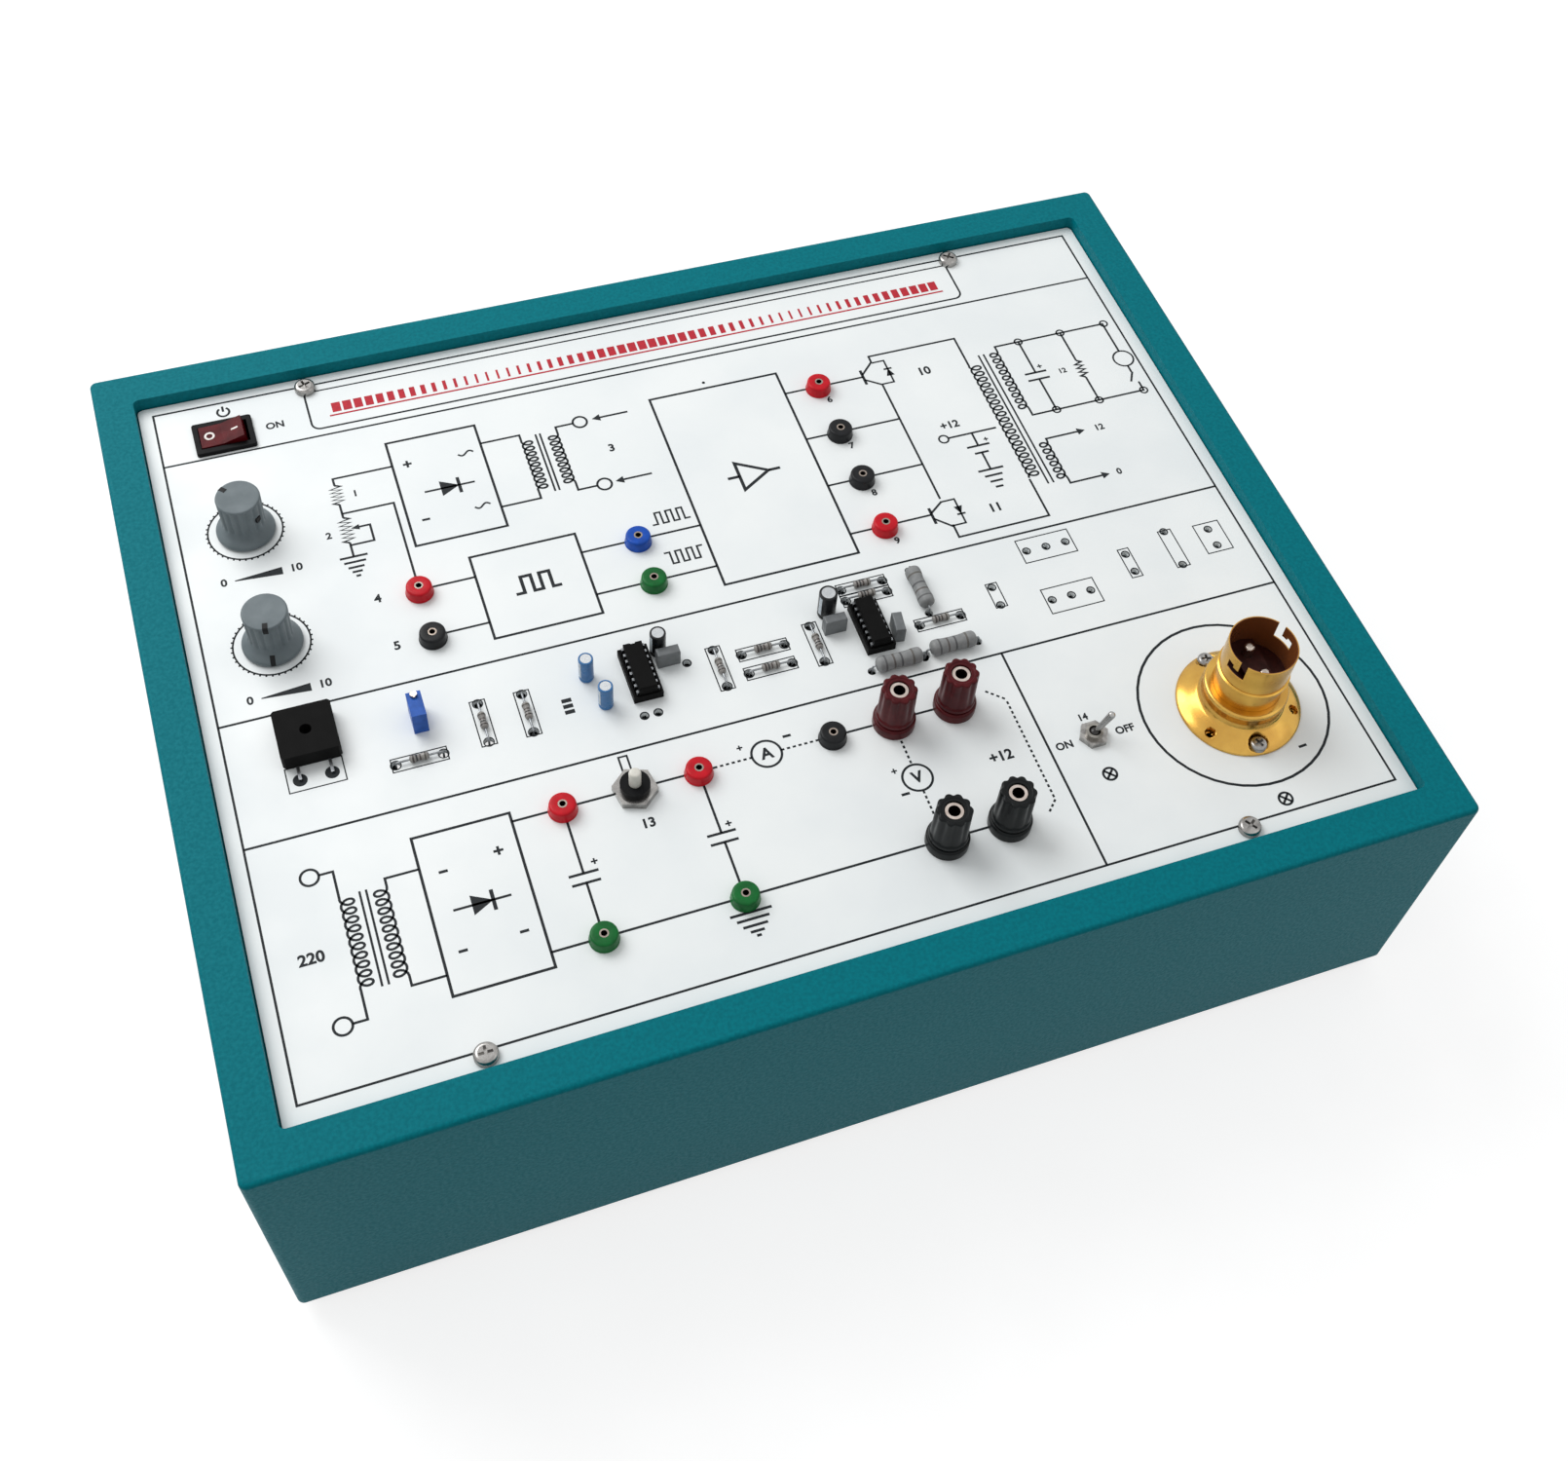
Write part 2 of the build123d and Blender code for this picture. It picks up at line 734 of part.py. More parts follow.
def fixing_nuts():
    """Nuts on the underside: under the ledge, the test sockets and the binding posts."""
    panel_nut_height = panel_screw_radius * 2 * nut_height_ratio
    shapes = [screw_nut(panel_screw_radius, x, y, ledge_bottom - panel_nut_height)
              for x, y in panel_screw_places]
    shapes += [hex_nut(socket_nut_flats, socket_nut_height, socket_stem_radius, x, y,
                       panel_bottom - socket_nut_height) for x, y in all_socket_places]
    shapes += [hex_nut(post_nut_flats, post_nut_height, post_stud_radius, x, y,
                       panel_bottom - post_nut_height) for x, y in post_places.values()]
    return group(shapes)


# Power switch

def power_switch_housing():
    """Black bezel and body with the well that the rocker swings in."""
    bezel = Pos(left_column_x, header_row_y, panel_top) * extrude(
        RectangleRounded(switch_bezel_length, switch_bezel_width, switch_bezel_radius),
        switch_bezel_height)
    bezel = fillet(bezel.edges().group_by(Axis.Z)[-1], switch_bezel_edge)
    body = block(switch_body_length, switch_body_width, switch_body_depth,
                 left_column_x, header_row_y, panel_top - switch_body_depth)
    floor = panel_top - switch_body_depth + switch_floor
    well = block(switch_well_length, switch_well_width, panel_top + switch_bezel_height - floor,
                 left_column_x, header_row_y, floor)
    pin_length = switch_well_width + 2 * (rocker_pin_reach + rocker_clearance)
    pin_hole = Pos(left_column_x, header_row_y, rocker_pivot_z) * Rot(90, 0, 0) * Cylinder(
        rocker_pin_radius + shaft_clearance, pin_length)
    return bezel + body - well - pin_hole


def power_rocker():
    """Rocker with a dished top, seen with its right end raised."""
    half_length = switch_well_length / 2 - rocker_end_clearance
    width = switch_well_width - 2 * rocker_clearance
    outline = Plane.XZ * Polyline(
        (-half_length, -rocker_skirt), (-half_length, rocker_end_height), (0, rocker_dip_height),
        (half_length, rocker_end_height), (half_length, -rocker_skirt),
        (rocker_keel_half_length, -rocker_keel), (-rocker_keel_half_length, -rocker_keel), close=True)
    paddle = extrude(make_face(outline), width / 2, both=True)
    pins = Rot(90, 0, 0) * Cylinder(rocker_pin_radius, switch_well_width + 2 * rocker_pin_reach)
    rocker = Rot(0, -rocker_tilt, 0) * (paddle + pins)
    return Pos(left_column_x, header_row_y, rocker_pivot_z) * rocker


def terminal_tabs():
    """Solder tabs under the switches, breaker and potentiometers, and the inlet's three pins."""
    shapes = []
    front = case_depth / 2 + inlet_flange_thickness - inlet_pin_setback
    back = case_depth / 2 - inlet_body_depth - inlet_tab_length
    for x, z in inlet_pin_places():
        shapes.append(block(inlet_pin_width, front - back, inlet_pin_height, x, (front + back) / 2,
                            z - inlet_pin_height / 2))
    switch_bottom = panel_top - switch_body_depth
    for step in (-1, 0, 1):
        shapes.append(block(tab_thickness, tab_width, tab_length, left_column_x + step * tab_pitch,
                            header_row_y, switch_bottom - tab_length))
        shapes.append(block(tab_thickness, pin_tab_width, pin_tab_length,
                            toggle_x + step * toggle_body_length / 3, toggle_y,
                            panel_bottom - toggle_body_depth - pin_tab_length))
        for x, y, angle in knob_places.values():
            shapes.append(block(pin_tab_width, tab_thickness, pin_tab_length, x + step * pot_radius / 2,
                                y, panel_bottom - pot_depth - pin_tab_length))
    for side in (-1, 1):
        shapes.append(block(tab_thickness, tab_width, tab_length,
                            breaker_x + side * breaker_body_length / 4, feed_row_y,
                            panel_bottom - breaker_body_depth - tab_length))
    return group(shapes)


# Potentiometers and knobs

def potentiometers():
    """Two round bodies hung under the panel on threaded bushings, bored for the shafts."""
    seat = panel_bottom - pot_shaft_seat
    top = panel_top + pot_bushing_height
    shapes = []
    for x, y, angle in knob_places.values():
        body = rod(pot_radius, pot_depth, x, y, panel_bottom - pot_depth)
        body += rod(pot_bushing_radius, top - panel_bottom, x, y, panel_bottom)
        body -= rod(pot_shaft_radius + shaft_clearance, top - seat, x, y, seat)
        shapes.append(body)
    return group(shapes)


def pot_shaft(x, y):
    """The turning shaft, from its seat in the body up into the knob."""
    bottom = panel_bottom - pot_shaft_seat + shaft_clearance
    top = knob_bottom + knob_height - knob_roof
    return rod(pot_shaft_radius, top - bottom, x, y, bottom)


def knob(x, y, angle):
    """Skirted knob with fluted sides, its set screw opposite the pointer."""
    recess_height = pot_bushing_height - knob_gap + knob_recess_clearance
    profile = [
        (knob_recess_radius, 0), (knob_skirt_radius, 0), (knob_skirt_radius, knob_skirt_height),
        (knob_waist_radius, knob_waist_height), (knob_top_radius, knob_height - knob_edge),
        (knob_top_radius - knob_edge, knob_height), (0, knob_height),
        (0, knob_height - knob_roof), (pot_shaft_radius, knob_height - knob_roof),
        (pot_shaft_radius, recess_height), (knob_recess_radius, recess_height)]
    body = turned(profile, 0, 0, 0)
    flute_circle = knob_waist_radius + knob_flute_radius / 2
    for index in range(knob_flute_count):
        fx, fy = polar(0, 0, flute_circle, (index + 0.5) * 360 / knob_flute_count)
        body -= rod(knob_flute_radius, knob_height - knob_waist_height, fx, fy, knob_waist_height)
    screw_length = knob_waist_radius - pot_shaft_radius
    middle = -(knob_waist_radius + pot_shaft_radius) / 2
    body -= Pos(middle, 0, knob_screw_height) * Rot(0, 90, 0) * Cylinder(knob_screw_radius, screw_length)
    return Pos(x, y, knob_bottom) * Rot(0, 0, angle) * body


def bushing_nuts():
    """Nuts on the panel's face: two potentiometers, the toggle and the breaker."""
    shapes = [hex_nut(pot_nut_flats, pot_nut_height, pot_bushing_radius, x, y, panel_top)
              for x, y, angle in knob_places.values()]
    shapes.append(hex_nut(toggle_nut_flats, toggle_nut_height, toggle_bushing_radius,
                          toggle_x, toggle_y, panel_top))
    breaker_nut = hex_nut(breaker_nut_flats, breaker_nut_height, breaker_bushing_radius,
                          breaker_x, feed_row_y, panel_top, breaker_nut_turn)
    shapes.append(breaker_nut)
    return group(shapes)


# Toggle switch

def lamp_switch_body():
    """Block under the panel with the threaded bushing that carries the lever's ball."""
    top = panel_top + toggle_bushing_height
    body = block(toggle_body_length, toggle_body_width, toggle_body_depth,
                 toggle_x, toggle_y, panel_bottom - toggle_body_depth)
    body += rod(toggle_bushing_radius, top - panel_bottom, toggle_x, toggle_y, panel_bottom)
    bore_bottom = toggle_ball_z - toggle_tail - bore_end_clearance
    body -= rod(toggle_bore_radius, top - bore_bottom, toggle_x, toggle_y, bore_bottom)
    pin_length = 2 * (toggle_bore_radius + toggle_pin_reach + shaft_clearance)
    return body - Pos(toggle_x, toggle_y, toggle_ball_z) * Rot(90, 0, 0) * Cylinder(
        toggle_pin_radius + shaft_clearance, pin_length)


def lamp_switch_lever():
    """Bat lever on its ball and pivot pin, thrown to the right."""
    tip_z = toggle_lever_length - toggle_tip_radius
    bat = turned([(0, 0), (toggle_neck_radius, 0), (toggle_tip_radius, tip_z), (0, tip_z)], 0, 0, 0)
    lever = bat + Pos(0, 0, tip_z) * Sphere(toggle_tip_radius) + Sphere(toggle_ball_radius)
    lever += rod(toggle_tail_radius, toggle_tail, 0, 0, -toggle_tail)
    lever += Rot(90, 0, 0) * Cylinder(toggle_pin_radius, 2 * (toggle_bore_radius + toggle_pin_reach))
    return Pos(toggle_x, toggle_y, toggle_ball_z) * Rot(0, toggle_lean, 0) * lever


# Circuit breaker

def breaker_body():
    """Moulded body below the panel and the threaded bushing that the button slides in."""
    top = panel_top + breaker_bushing_height
    body = block(breaker_body_length, breaker_body_width, breaker_body_depth,
                 breaker_x, feed_row_y, panel_bottom - breaker_body_depth)
    body += rod(breaker_bushing_radius, top - panel_bottom, breaker_x, feed_row_y, panel_bottom)
    bore_bottom = panel_top - breaker_button_seat - breaker_travel - bore_end_clearance
    return body - rod(breaker_button_radius + shaft_clearance, top - bore_bottom,
                      breaker_x, feed_row_y, bore_bottom)


def breaker_button():
    """Push-to-reset button, standing out."""
    height = breaker_button_height + breaker_button_seat
    button = rod(breaker_button_radius, height, breaker_x, feed_row_y, panel_top - breaker_button_seat)
    rim = button.edges().filter_by(GeomType.CIRCLE).sort_by(Axis.Z)[-1]
    return fillet(rim, breaker_button_round)


# Test sockets

def socket_head(x, y):
    """Coloured head with a flange, a tapered shoulder and a stem through the panel."""
    profile = [
        (socket_contact_radius, 0), (socket_radius, 0), (socket_radius, socket_flange),
        (socket_shoulder_radius, socket_flange), (socket_top_radius, socket_height - socket_edge),
        (socket_top_radius - socket_edge, socket_height), (socket_contact_radius, socket_height)]
    stem_length = panel_thickness + socket_stem_length
    stem = rod(socket_stem_radius, stem_length, x, y, panel_top - stem_length)
    stem -= rod(socket_contact_radius, stem_length, x, y, panel_top - stem_length)
    return turned(profile, x, y, panel_top) + stem


def socket_contacts():
    """Metal contact tubes, open at the top for a 2 mm plug."""
    shapes = []
    for x, y in all_socket_places:
        top = panel_top + socket_height
        tube = rod(socket_contact_radius, socket_contact_length, x, y, top - socket_contact_length)
        shapes.append(tube - rod(socket_bore_radius, socket_bore_depth, x, y, top - socket_bore_depth))
    return group(shapes)


# Binding posts

def post_base(x, y):
    """Round insulating base on the panel."""
    profile = [
        (post_stud_radius, 0), (post_base_radius, 0), (post_base_radius, post_base_height - post_base_bevel),
        (post_base_radius - post_base_bevel, post_base_height), (post_stud_radius, post_base_height)]
    return turned(profile, x, y, panel_top)


def post_studs():
    """Threaded studs, bored at the top for a 4 mm plug and cross-drilled for a wire."""
    bottom = panel_bottom - post_stud_length_below
    top = panel_top + post_stud_height
    shapes = []
    for x, y in post_places.values():
        stud = rod(post_stud_radius, top - bottom, x, y, bottom)
        stud -= rod(post_bore_radius, post_bore_depth, x, y, top - post_bore_depth)
        wire_z = panel_top + post_base_height + post_wire_hole_radius
        stud -= Pos(x, y, wire_z) * Rot(0, 90, 0) * Cylinder(post_wire_hole_radius, 3 * post_stud_radius)
        shapes.append(stud)
    return group(shapes)


def post_insert(x, y):
    """Threaded bush that climbs the stud inside the cap."""
    inner = post_stud_radius + insert_thread_clearance
    bush = rod(inner + insert_wall, insert_height, x, y, cap_bottom)
    return bush - rod(inner, insert_height, x, y, cap_bottom)


def post_cap(x, y):
    """Lobed screw cap that clamps a wire against the base."""
    pocket_radius = post_stud_radius + insert_thread_clearance + insert_wall + cap_bore_clearance
    pocket_height = insert_height + cap_bore_clearance
    bore_radius = post_stud_radius + cap_bore_clearance
    profile = [
        (pocket_radius, 0), (cap_collar_radius, 0), (cap_collar_radius, cap_collar_height),
        (cap_top_radius, cap_height), (bore_radius, cap_height), (bore_radius, pocket_height),
        (pocket_radius, pocket_height)]
    cap = turned(profile, 0, 0, 0)
    cut_circle = cap_top_radius - cap_lobe_cut_depth + cap_lobe_cut_radius
    for index in range(cap_lobe_count):
        cx, cy = polar(0, 0, cut_circle, (index + 0.5) * 360 / cap_lobe_count)
        cap -= rod(cap_lobe_cut_radius, cap_height - cap_collar_height, cx, cy, cap_collar_height)
    return Pos(x, y, cap_bottom) * cap


# Component strip

def bridge_rectifier():
    """Square moulded block with a centre hole and bevelled upright edges."""
    bottom = panel_top + bridge_standoff
    body = block(bridge_size, bridge_size, bridge_height, bridge_x, bridge_y, bottom)
    body = chamfer(body.edges().filter_by(Axis.Z), bridge_bevel)
    return body - rod(bridge_hole_radius, bridge_height, bridge_x, bridge_y, bottom)


def trimmer_body():
    """Upright multi-turn trimmer with a bore for its screw."""
    body = block(trimmer_width, trimmer_length, trimmer_height, trimmer_x, trimmer_y, panel_top)
    screw_y = trimmer_y + trimmer_screw_offset
    bottom = panel_top + trimmer_height - trimmer_screw_depth
    return body - rod(trimmer_screw_radius + shaft_clearance, trimmer_screw_depth,
                      trimmer_x, screw_y, bottom)


def trimmer_screw():
    """Slotted adjusting screw."""
    screw_y = trimmer_y + trimmer_screw_offset
    height = trimmer_screw_depth + trimmer_screw_rise - shaft_clearance
    bottom = panel_top + trimmer_height - trimmer_screw_depth + shaft_clearance
    screw = rod(trimmer_screw_radius, height, trimmer_x, screw_y, bottom)
    slot = block(trimmer_slot, 3 * trimmer_screw_radius, trimmer_slot, trimmer_x, screw_y,
                 bottom + height - trimmer_slot)
    return screw - slot


def resistor_body(x, y, angle, length, radius):
    """Round body lying along the angle, thicker at its two ends."""
    middle = radius - resistor_waist
    end = radius + resistor_waist
    profile = [
        (0, 0), (radius, 0), (radius, radius), (middle, end), (middle, length - end),
        (radius, length - radius), (radius, length), (0, length)]
    body = Pos(-length / 2, 0, 0) * Rot(0, 90, 0) * turned(profile, 0, 0, 0)
    return Pos(x, y, panel_top + lead_gap + radius) * Rot(0, 0, angle) * body


def resistors():
    """Quarter-watt resistors."""
    return group(resistor_body(*place, resistor_length, resistor_radius) for place in resistor_places)


def power_resistors():
    """Larger resistors."""
    return group(resistor_body(*place, power_resistor_length, power_resistor_radius)
                 for place in power_resistor_places)


def bent_lead(x, y, angle, reach, length, radius):
    """One lead from the end of a body, bent down through the panel."""
    rise = lead_gap + radius
    path = FilletPolyline((length / 2, 0, rise), (reach, 0, rise), (reach, 0, -panel_thickness),
                          radius=lead_bend_radius)
    wire = sweep(Plane.YZ.offset(length / 2) * Pos(0, rise) * Circle(lead_radius), path)
    return Pos(x, y, panel_top) * Rot(0, 0, angle) * wire


def component_leads():
    """Tinned leads of the resistors and of the bridge rectifier."""
    shapes = []
    for x, y, angle in resistor_places:
        for turn in (0, 180):
            shapes.append(bent_lead(x, y, angle + turn, resistor_lead_reach, resistor_length,
                                    resistor_radius))
    for x, y, angle in power_resistor_places:
        for turn in (0, 180):
            shapes.append(bent_lead(x, y, angle + turn, power_resistor_lead_reach, power_resistor_length,
                                    power_resistor_radius))
    for x, y in bridge_lead_places():
        inner_y = max(y, bridge_y - bridge_size / 4) + bridge_lead_radius
        outer_y = y - bridge_lead_radius
        run = block(2 * bridge_lead_radius, inner_y - outer_y, bridge_standoff,
                    x, (inner_y + outer_y) / 2, panel_top)
        shapes.append(run + rod(bridge_lead_radius, panel_thickness, x, y, panel_bottom))
    return group(shapes)


def chip_bodies():
    """Chips seated in their sockets: sockets below, notched packages above."""
    shapes = []
    package_length = chip_length - chip_length_trim
    row_length = (chip_pin_count / 2 - 1) * chip_pin_pitch + chip_leg_width + 2 * chip_gap
    for x, y in on_strip(chip_spots):
        socket = block(chip_socket_width, chip_length, chip_socket_height, x, y, panel_top)
        channel = block(chip_channel_width, chip_length - 4 * chip_end_margin, chip_socket_height,
                        x, y, panel_top)
        rows = [block(chip_leg_width, row_length, chip_pin_depth, x + side * chip_row_spacing / 2, y,
                      panel_top + chip_socket_height - chip_pin_depth) for side in (-1, 1)]
        shapes.append(socket - channel - rows)
        bottom = panel_top + chip_socket_height + chip_gap
        package = block(chip_width, package_length, chip_height, x, y, bottom)
        package = chamfer(package.edges().group_by(Axis.Z)[-1], chip_bevel)
        package -= rod(chip_notch_radius, chip_notch_depth, x, y + package_length / 2,
                       bottom + chip_height - chip_notch_depth)
        for side in (-1, 1):
            package += block(chip_rest_width, chip_end_margin, chip_gap, x,
                             y + side * (package_length - chip_end_margin) / 2, bottom - chip_gap)
        shapes.append(package)
    return group(shapes)


def chip_legs():
    """Flat legs, out of the package's sides and down into the socket."""
    shapes = []
    per_side = chip_pin_count // 2
    for x, y in on_strip(chip_spots):
        first = y - (per_side - 1) * chip_pin_pitch / 2
        shoulder = panel_top + chip_socket_height + chip_gap + chip_shoulder_height
        foot = panel_top + chip_socket_height - chip_pin_depth
        for side in (-1, 1):
            leg_x = x + side * chip_row_spacing / 2
            reach = (chip_row_spacing - chip_width) / 2
            for index in range(per_side):
                leg_y = first + index * chip_pin_pitch
                arm = block(reach + chip_leg_thickness / 2, chip_leg_width, chip_leg_thickness,
                            leg_x - side * (reach / 2 - chip_leg_thickness / 4), leg_y, shoulder)
                arm += block(chip_leg_thickness, chip_leg_width, shoulder + chip_leg_thickness - foot,
                             leg_x, leg_y, foot)
                shapes.append(arm)
    return group(shapes)


def can(x, y, z, radius, height):
    """Upright electrolytic can with rounded edges, a rolled groove and a vent cross."""
    body = rod(radius, height, x, y, z)
    body = fillet(body.edges().filter_by(GeomType.CIRCLE), can_edge)
    groove = rod(2 * radius, can_edge, x, y, z + can_groove_rise)
    groove -= rod(radius - can_vent_depth, can_edge, x, y, z + can_groove_rise)
    for angle in (45, 135):
        bar = block(2 * radius * can_vent_ratio, can_vent_depth, can_vent_depth, 0, 0,
                    height - can_vent_depth)
        body -= Pos(x, y, z) * Rot(0, 0, angle) * bar
    return body - groove


def blue_capacitors():
    """Small blue electrolytic capacitors."""
    return group(can(x, y, panel_top, small_can_radius, small_can_height)
                 for x, y in on_strip(blue_can_spots))


def black_capacitors():
    """Black electrolytic capacitors on the panel, and the large ones on the board inside."""
    cans = [can(x, y, panel_top, black_can_radius, black_can_height) for x, y in on_strip(black_can_spots)]
    cans += [can(x, y, panel_top, large_can_radius, large_can_height) for x, y in on_strip(large_can_spots)]
    cans += [can(board_x + x, board_y + y, board_top, filter_can_radius, filter_can_height)
             for x, y in filter_can_places]
    return group(cans)


def box_capacitors():
    """Rectangular film capacitors standing on edge."""
    shapes = []
    for x, y, angle in on_strip(box_cap_spots):
        body = block(box_cap_length, box_cap_width, box_cap_height, 0, 0, 0)
        body = fillet(body.edges().group_by(Axis.Z)[-1], box_cap_edge)
        shapes.append(Pos(x, y, panel_top) * Rot(0, 0, angle) * body)
    return group(shapes)


# Lampholder

def lampholder_base():
    """Spun brass dome with its neck, seated on the panel, and four holes in its flange."""
    inner_neck = lamp_bore_radius + lamp_shell_wall
    profile = [
        (lamp_flange_radius - lamp_wall, 0), (lamp_flange_radius, 0), (lamp_flange_radius, lamp_flange_edge),
        (lamp_step_radius, lamp_step_height), (lamp_shoulder_radius, lamp_shoulder_height),
        (lamp_neck_radius, lamp_collar_height), (lamp_neck_radius, lamp_neck_height),
        (inner_neck, lamp_neck_height), (inner_neck, lamp_shell_seat),
        (lamp_step_radius, lamp_step_height - lamp_wall)]
    dome = turned(profile, lamp_x, lamp_y, panel_top)
    for angle in lamp_screw_angles:
        x, y = polar(lamp_x, lamp_y, lamp_screw_circle, angle)
        dome += rod(lamp_screw_head_radius + hole_clearance, lamp_screw_seat, x, y, panel_top)
        dome -= rod(lamp_screw_head_radius + hole_clearance, lamp_neck_height, x, y,
                    panel_top + lamp_screw_seat)
        dome -= rod(lamp_screw_radius, lamp_neck_height, x, y, panel_top)
    for angle in lamp_spare_angles:
        x, y = polar(lamp_x, lamp_y, lamp_screw_circle, angle)
        dome -= rod(lamp_screw_radius, lamp_neck_height, x, y, panel_top)
    return dome


def lampholder_ring():
    """Shade ring screwed round the shell, on top of the neck."""
    inner = lamp_bore_radius + lamp_shell_wall
    ring = rod(lamp_ring_radius, lamp_ring_height, lamp_x, lamp_y, panel_top + lamp_neck_height)
    ring = fillet(ring.edges().filter_by(GeomType.CIRCLE), lamp_ring_round)
    return ring - rod(inner, lamp_ring_height, lamp_x, lamp_y, panel_top + lamp_neck_height)


def bayonet_slot(angle):
    """Cutter for one slot: down from the mouth, then clockwise, then a little way back up."""
    reach = lamp_bore_radius + 2 * lamp_shell_wall
    thickness = 4 * lamp_shell_wall
    middle = reach - thickness / 2
    floor = panel_top + lamp_height - lamp_slot_drop
    cutter = Rot(0, 0, angle) * block(thickness, lamp_slot_width, lamp_slot_drop, middle, 0, floor)
    band = rod(reach, lamp_slot_width, 0, 0, floor) - rod(reach - thickness, lamp_slot_width, 0, 0, floor)
    wedge = Polyline((0, 0), polar(0, 0, 2 * reach, angle - lamp_slot_turn),
                     polar(0, 0, 2 * reach, angle), close=True)
    band &= Pos(0, 0, floor) * extrude(make_face(wedge), lamp_slot_width)
    hook = Rot(0, 0, angle - lamp_slot_turn) * block(
        thickness, lamp_slot_width, lamp_slot_width + lamp_slot_hook, middle, 0, floor)
    return Pos(lamp_x, lamp_y, 0) * (cutter + band + hook)


def lampholder_shell():
    """Brass barrel with its two bayonet slots, open at the top for a lamp."""
    outer = lamp_bore_radius + lamp_shell_wall
    bead = outer + lamp_bead_rise
    bottom = lamp_shell_seat
    half = lamp_bead_width / 2
    profile = [
        (lamp_bore_radius, bottom), (outer, bottom), (outer, lamp_bead_height - half),
        (bead, lamp_bead_height - half / 2), (bead, lamp_bead_height + half / 2),
        (outer, lamp_bead_height + half), (outer, lamp_height), (lamp_bore_radius, lamp_height)]
    shell = turned(profile, lamp_x, lamp_y, panel_top)
    for side in (0, 180):
        shell -= bayonet_slot(lamp_slot_angle + side)
    return shell


def lampholder_insulator():
    """Moulded insulator with a raised bridge and two bores for the contacts."""
    bottom = lamp_insulator_top - lamp_insulator_height
    body = rod(lamp_bore_radius, lamp_insulator_height - lamp_bridge_height, lamp_x, lamp_y, bottom)
    bridge = rod(lamp_bore_radius, lamp_bridge_height, lamp_x, lamp_y,
                 lamp_insulator_top - lamp_bridge_height)
    bridge &= block(lamp_bridge_width, 3 * lamp_bore_radius, lamp_bridge_height, lamp_x, lamp_y,
                    lamp_insulator_top - lamp_bridge_height)
    body += bridge
    depth = lamp_contact_seat + lamp_contact_travel
    for x, y in lamp_contact_places.values():
        body -= rod(lamp_contact_radius + shaft_clearance, depth, x, y, lamp_insulator_top - depth)
    return body


def lamp_contact(x, y):
    """Sprung contact plunger with a domed end."""
    height = lamp_contact_seat + lamp_contact_rise - shaft_clearance
    plunger = rod(lamp_contact_radius, height, x, y, lamp_insulator_top - lamp_contact_seat + shaft_clearance)
    rim = plunger.edges().filter_by(GeomType.CIRCLE).sort_by(Axis.Z)[-1]
    return fillet(rim, lamp_contact_round)


def lampholder_screws():
    """Two pan head screws through the flange into the panel."""
    shapes = []
    for index, angle in enumerate(lamp_screw_angles):
        x, y = polar(lamp_x, lamp_y, lamp_screw_circle, angle)
        length = lamp_screw_seat + panel_thickness
        screw = pan_screw(lamp_screw_head_radius, lamp_screw_head_height, lamp_screw_radius,
                          length, screw_turn - screw_turn_step * index)
        shapes.append(Pos(x, y, panel_top + lamp_screw_seat) * screw)
    return group(shapes)


# Inside and behind

def transformer_core(x, y, length, stack, height):
    """Laminated core with two windows."""
    core = block(length, stack, height, x, y, base_top)
    window = (length - 4 * lamination_leg) / 2
    for side in (-1, 1):
        core -= block(window, stack, height - 2 * lamination_leg,
                      x + side * (lamination_leg + window / 2), y, base_top + lamination_leg)
    return core


def transformer_winding(x, y, length, stack, height):
    """Taped winding round the middle leg."""
    window = (length - 4 * lamination_leg) / 2
    tall = height - 2 * lamination_leg
    width = 2 * lamination_leg + 2 * window
    winding = block(width, stack + 2 * winding_overhang, tall, x, y, base_top + lamination_leg)
    winding = fillet(winding.edges().filter_by(Axis.Z), winding_round)
    for side in (-1, 1):
        winding -= block(lamination_leg, stack, tall, x + side * (length - lamination_leg) / 2, y,
                         base_top + lamination_leg)
    return winding - block(2 * lamination_leg, stack, tall, x, y, base_top + lamination_leg)


def board_corners():
    """The four fixing places of the circuit board."""
    half_length = board_length / 2 - board_corner_inset
    half_width = board_width / 2 - board_corner_inset
    return [(board_x + sx * half_length, board_y + sy * half_width) for sx in (-1, 1) for sy in (-1, 1)]


def circuit_board():
    """Board carried above the base plate."""
    return block(board_length, board_width, board_thickness, board_x, board_y,
                 board_top - board_thickness)


def board_standoffs():
    """Hexagonal standoffs between the base plate and the board."""
    outline = RegularPolygon(standoff_flats / sqrt(3), 6)
    post = extrude(outline, standoff_height)
    return group(Pos(x, y, base_top) * post for x, y in board_corners())


def heat_sinks():
    """Two finned heat sinks on the board."""
    pitch = (sink_length - sink_fin) / (sink_fin_count - 1)
    shapes = []
    for x, y in sink_places:
        sink = block(sink_length, sink_base, sink_height, board_x + x, board_y + y, board_top)
        for index in range(sink_fin_count):
            fin_x = board_x + x - (sink_length - sink_fin) / 2 + index * pitch
            sink += block(sink_fin, sink_width, sink_height, fin_x,
                          board_y + y + (sink_width - sink_base) / 2, board_top)
        shapes.append(sink)
    return group(shapes)


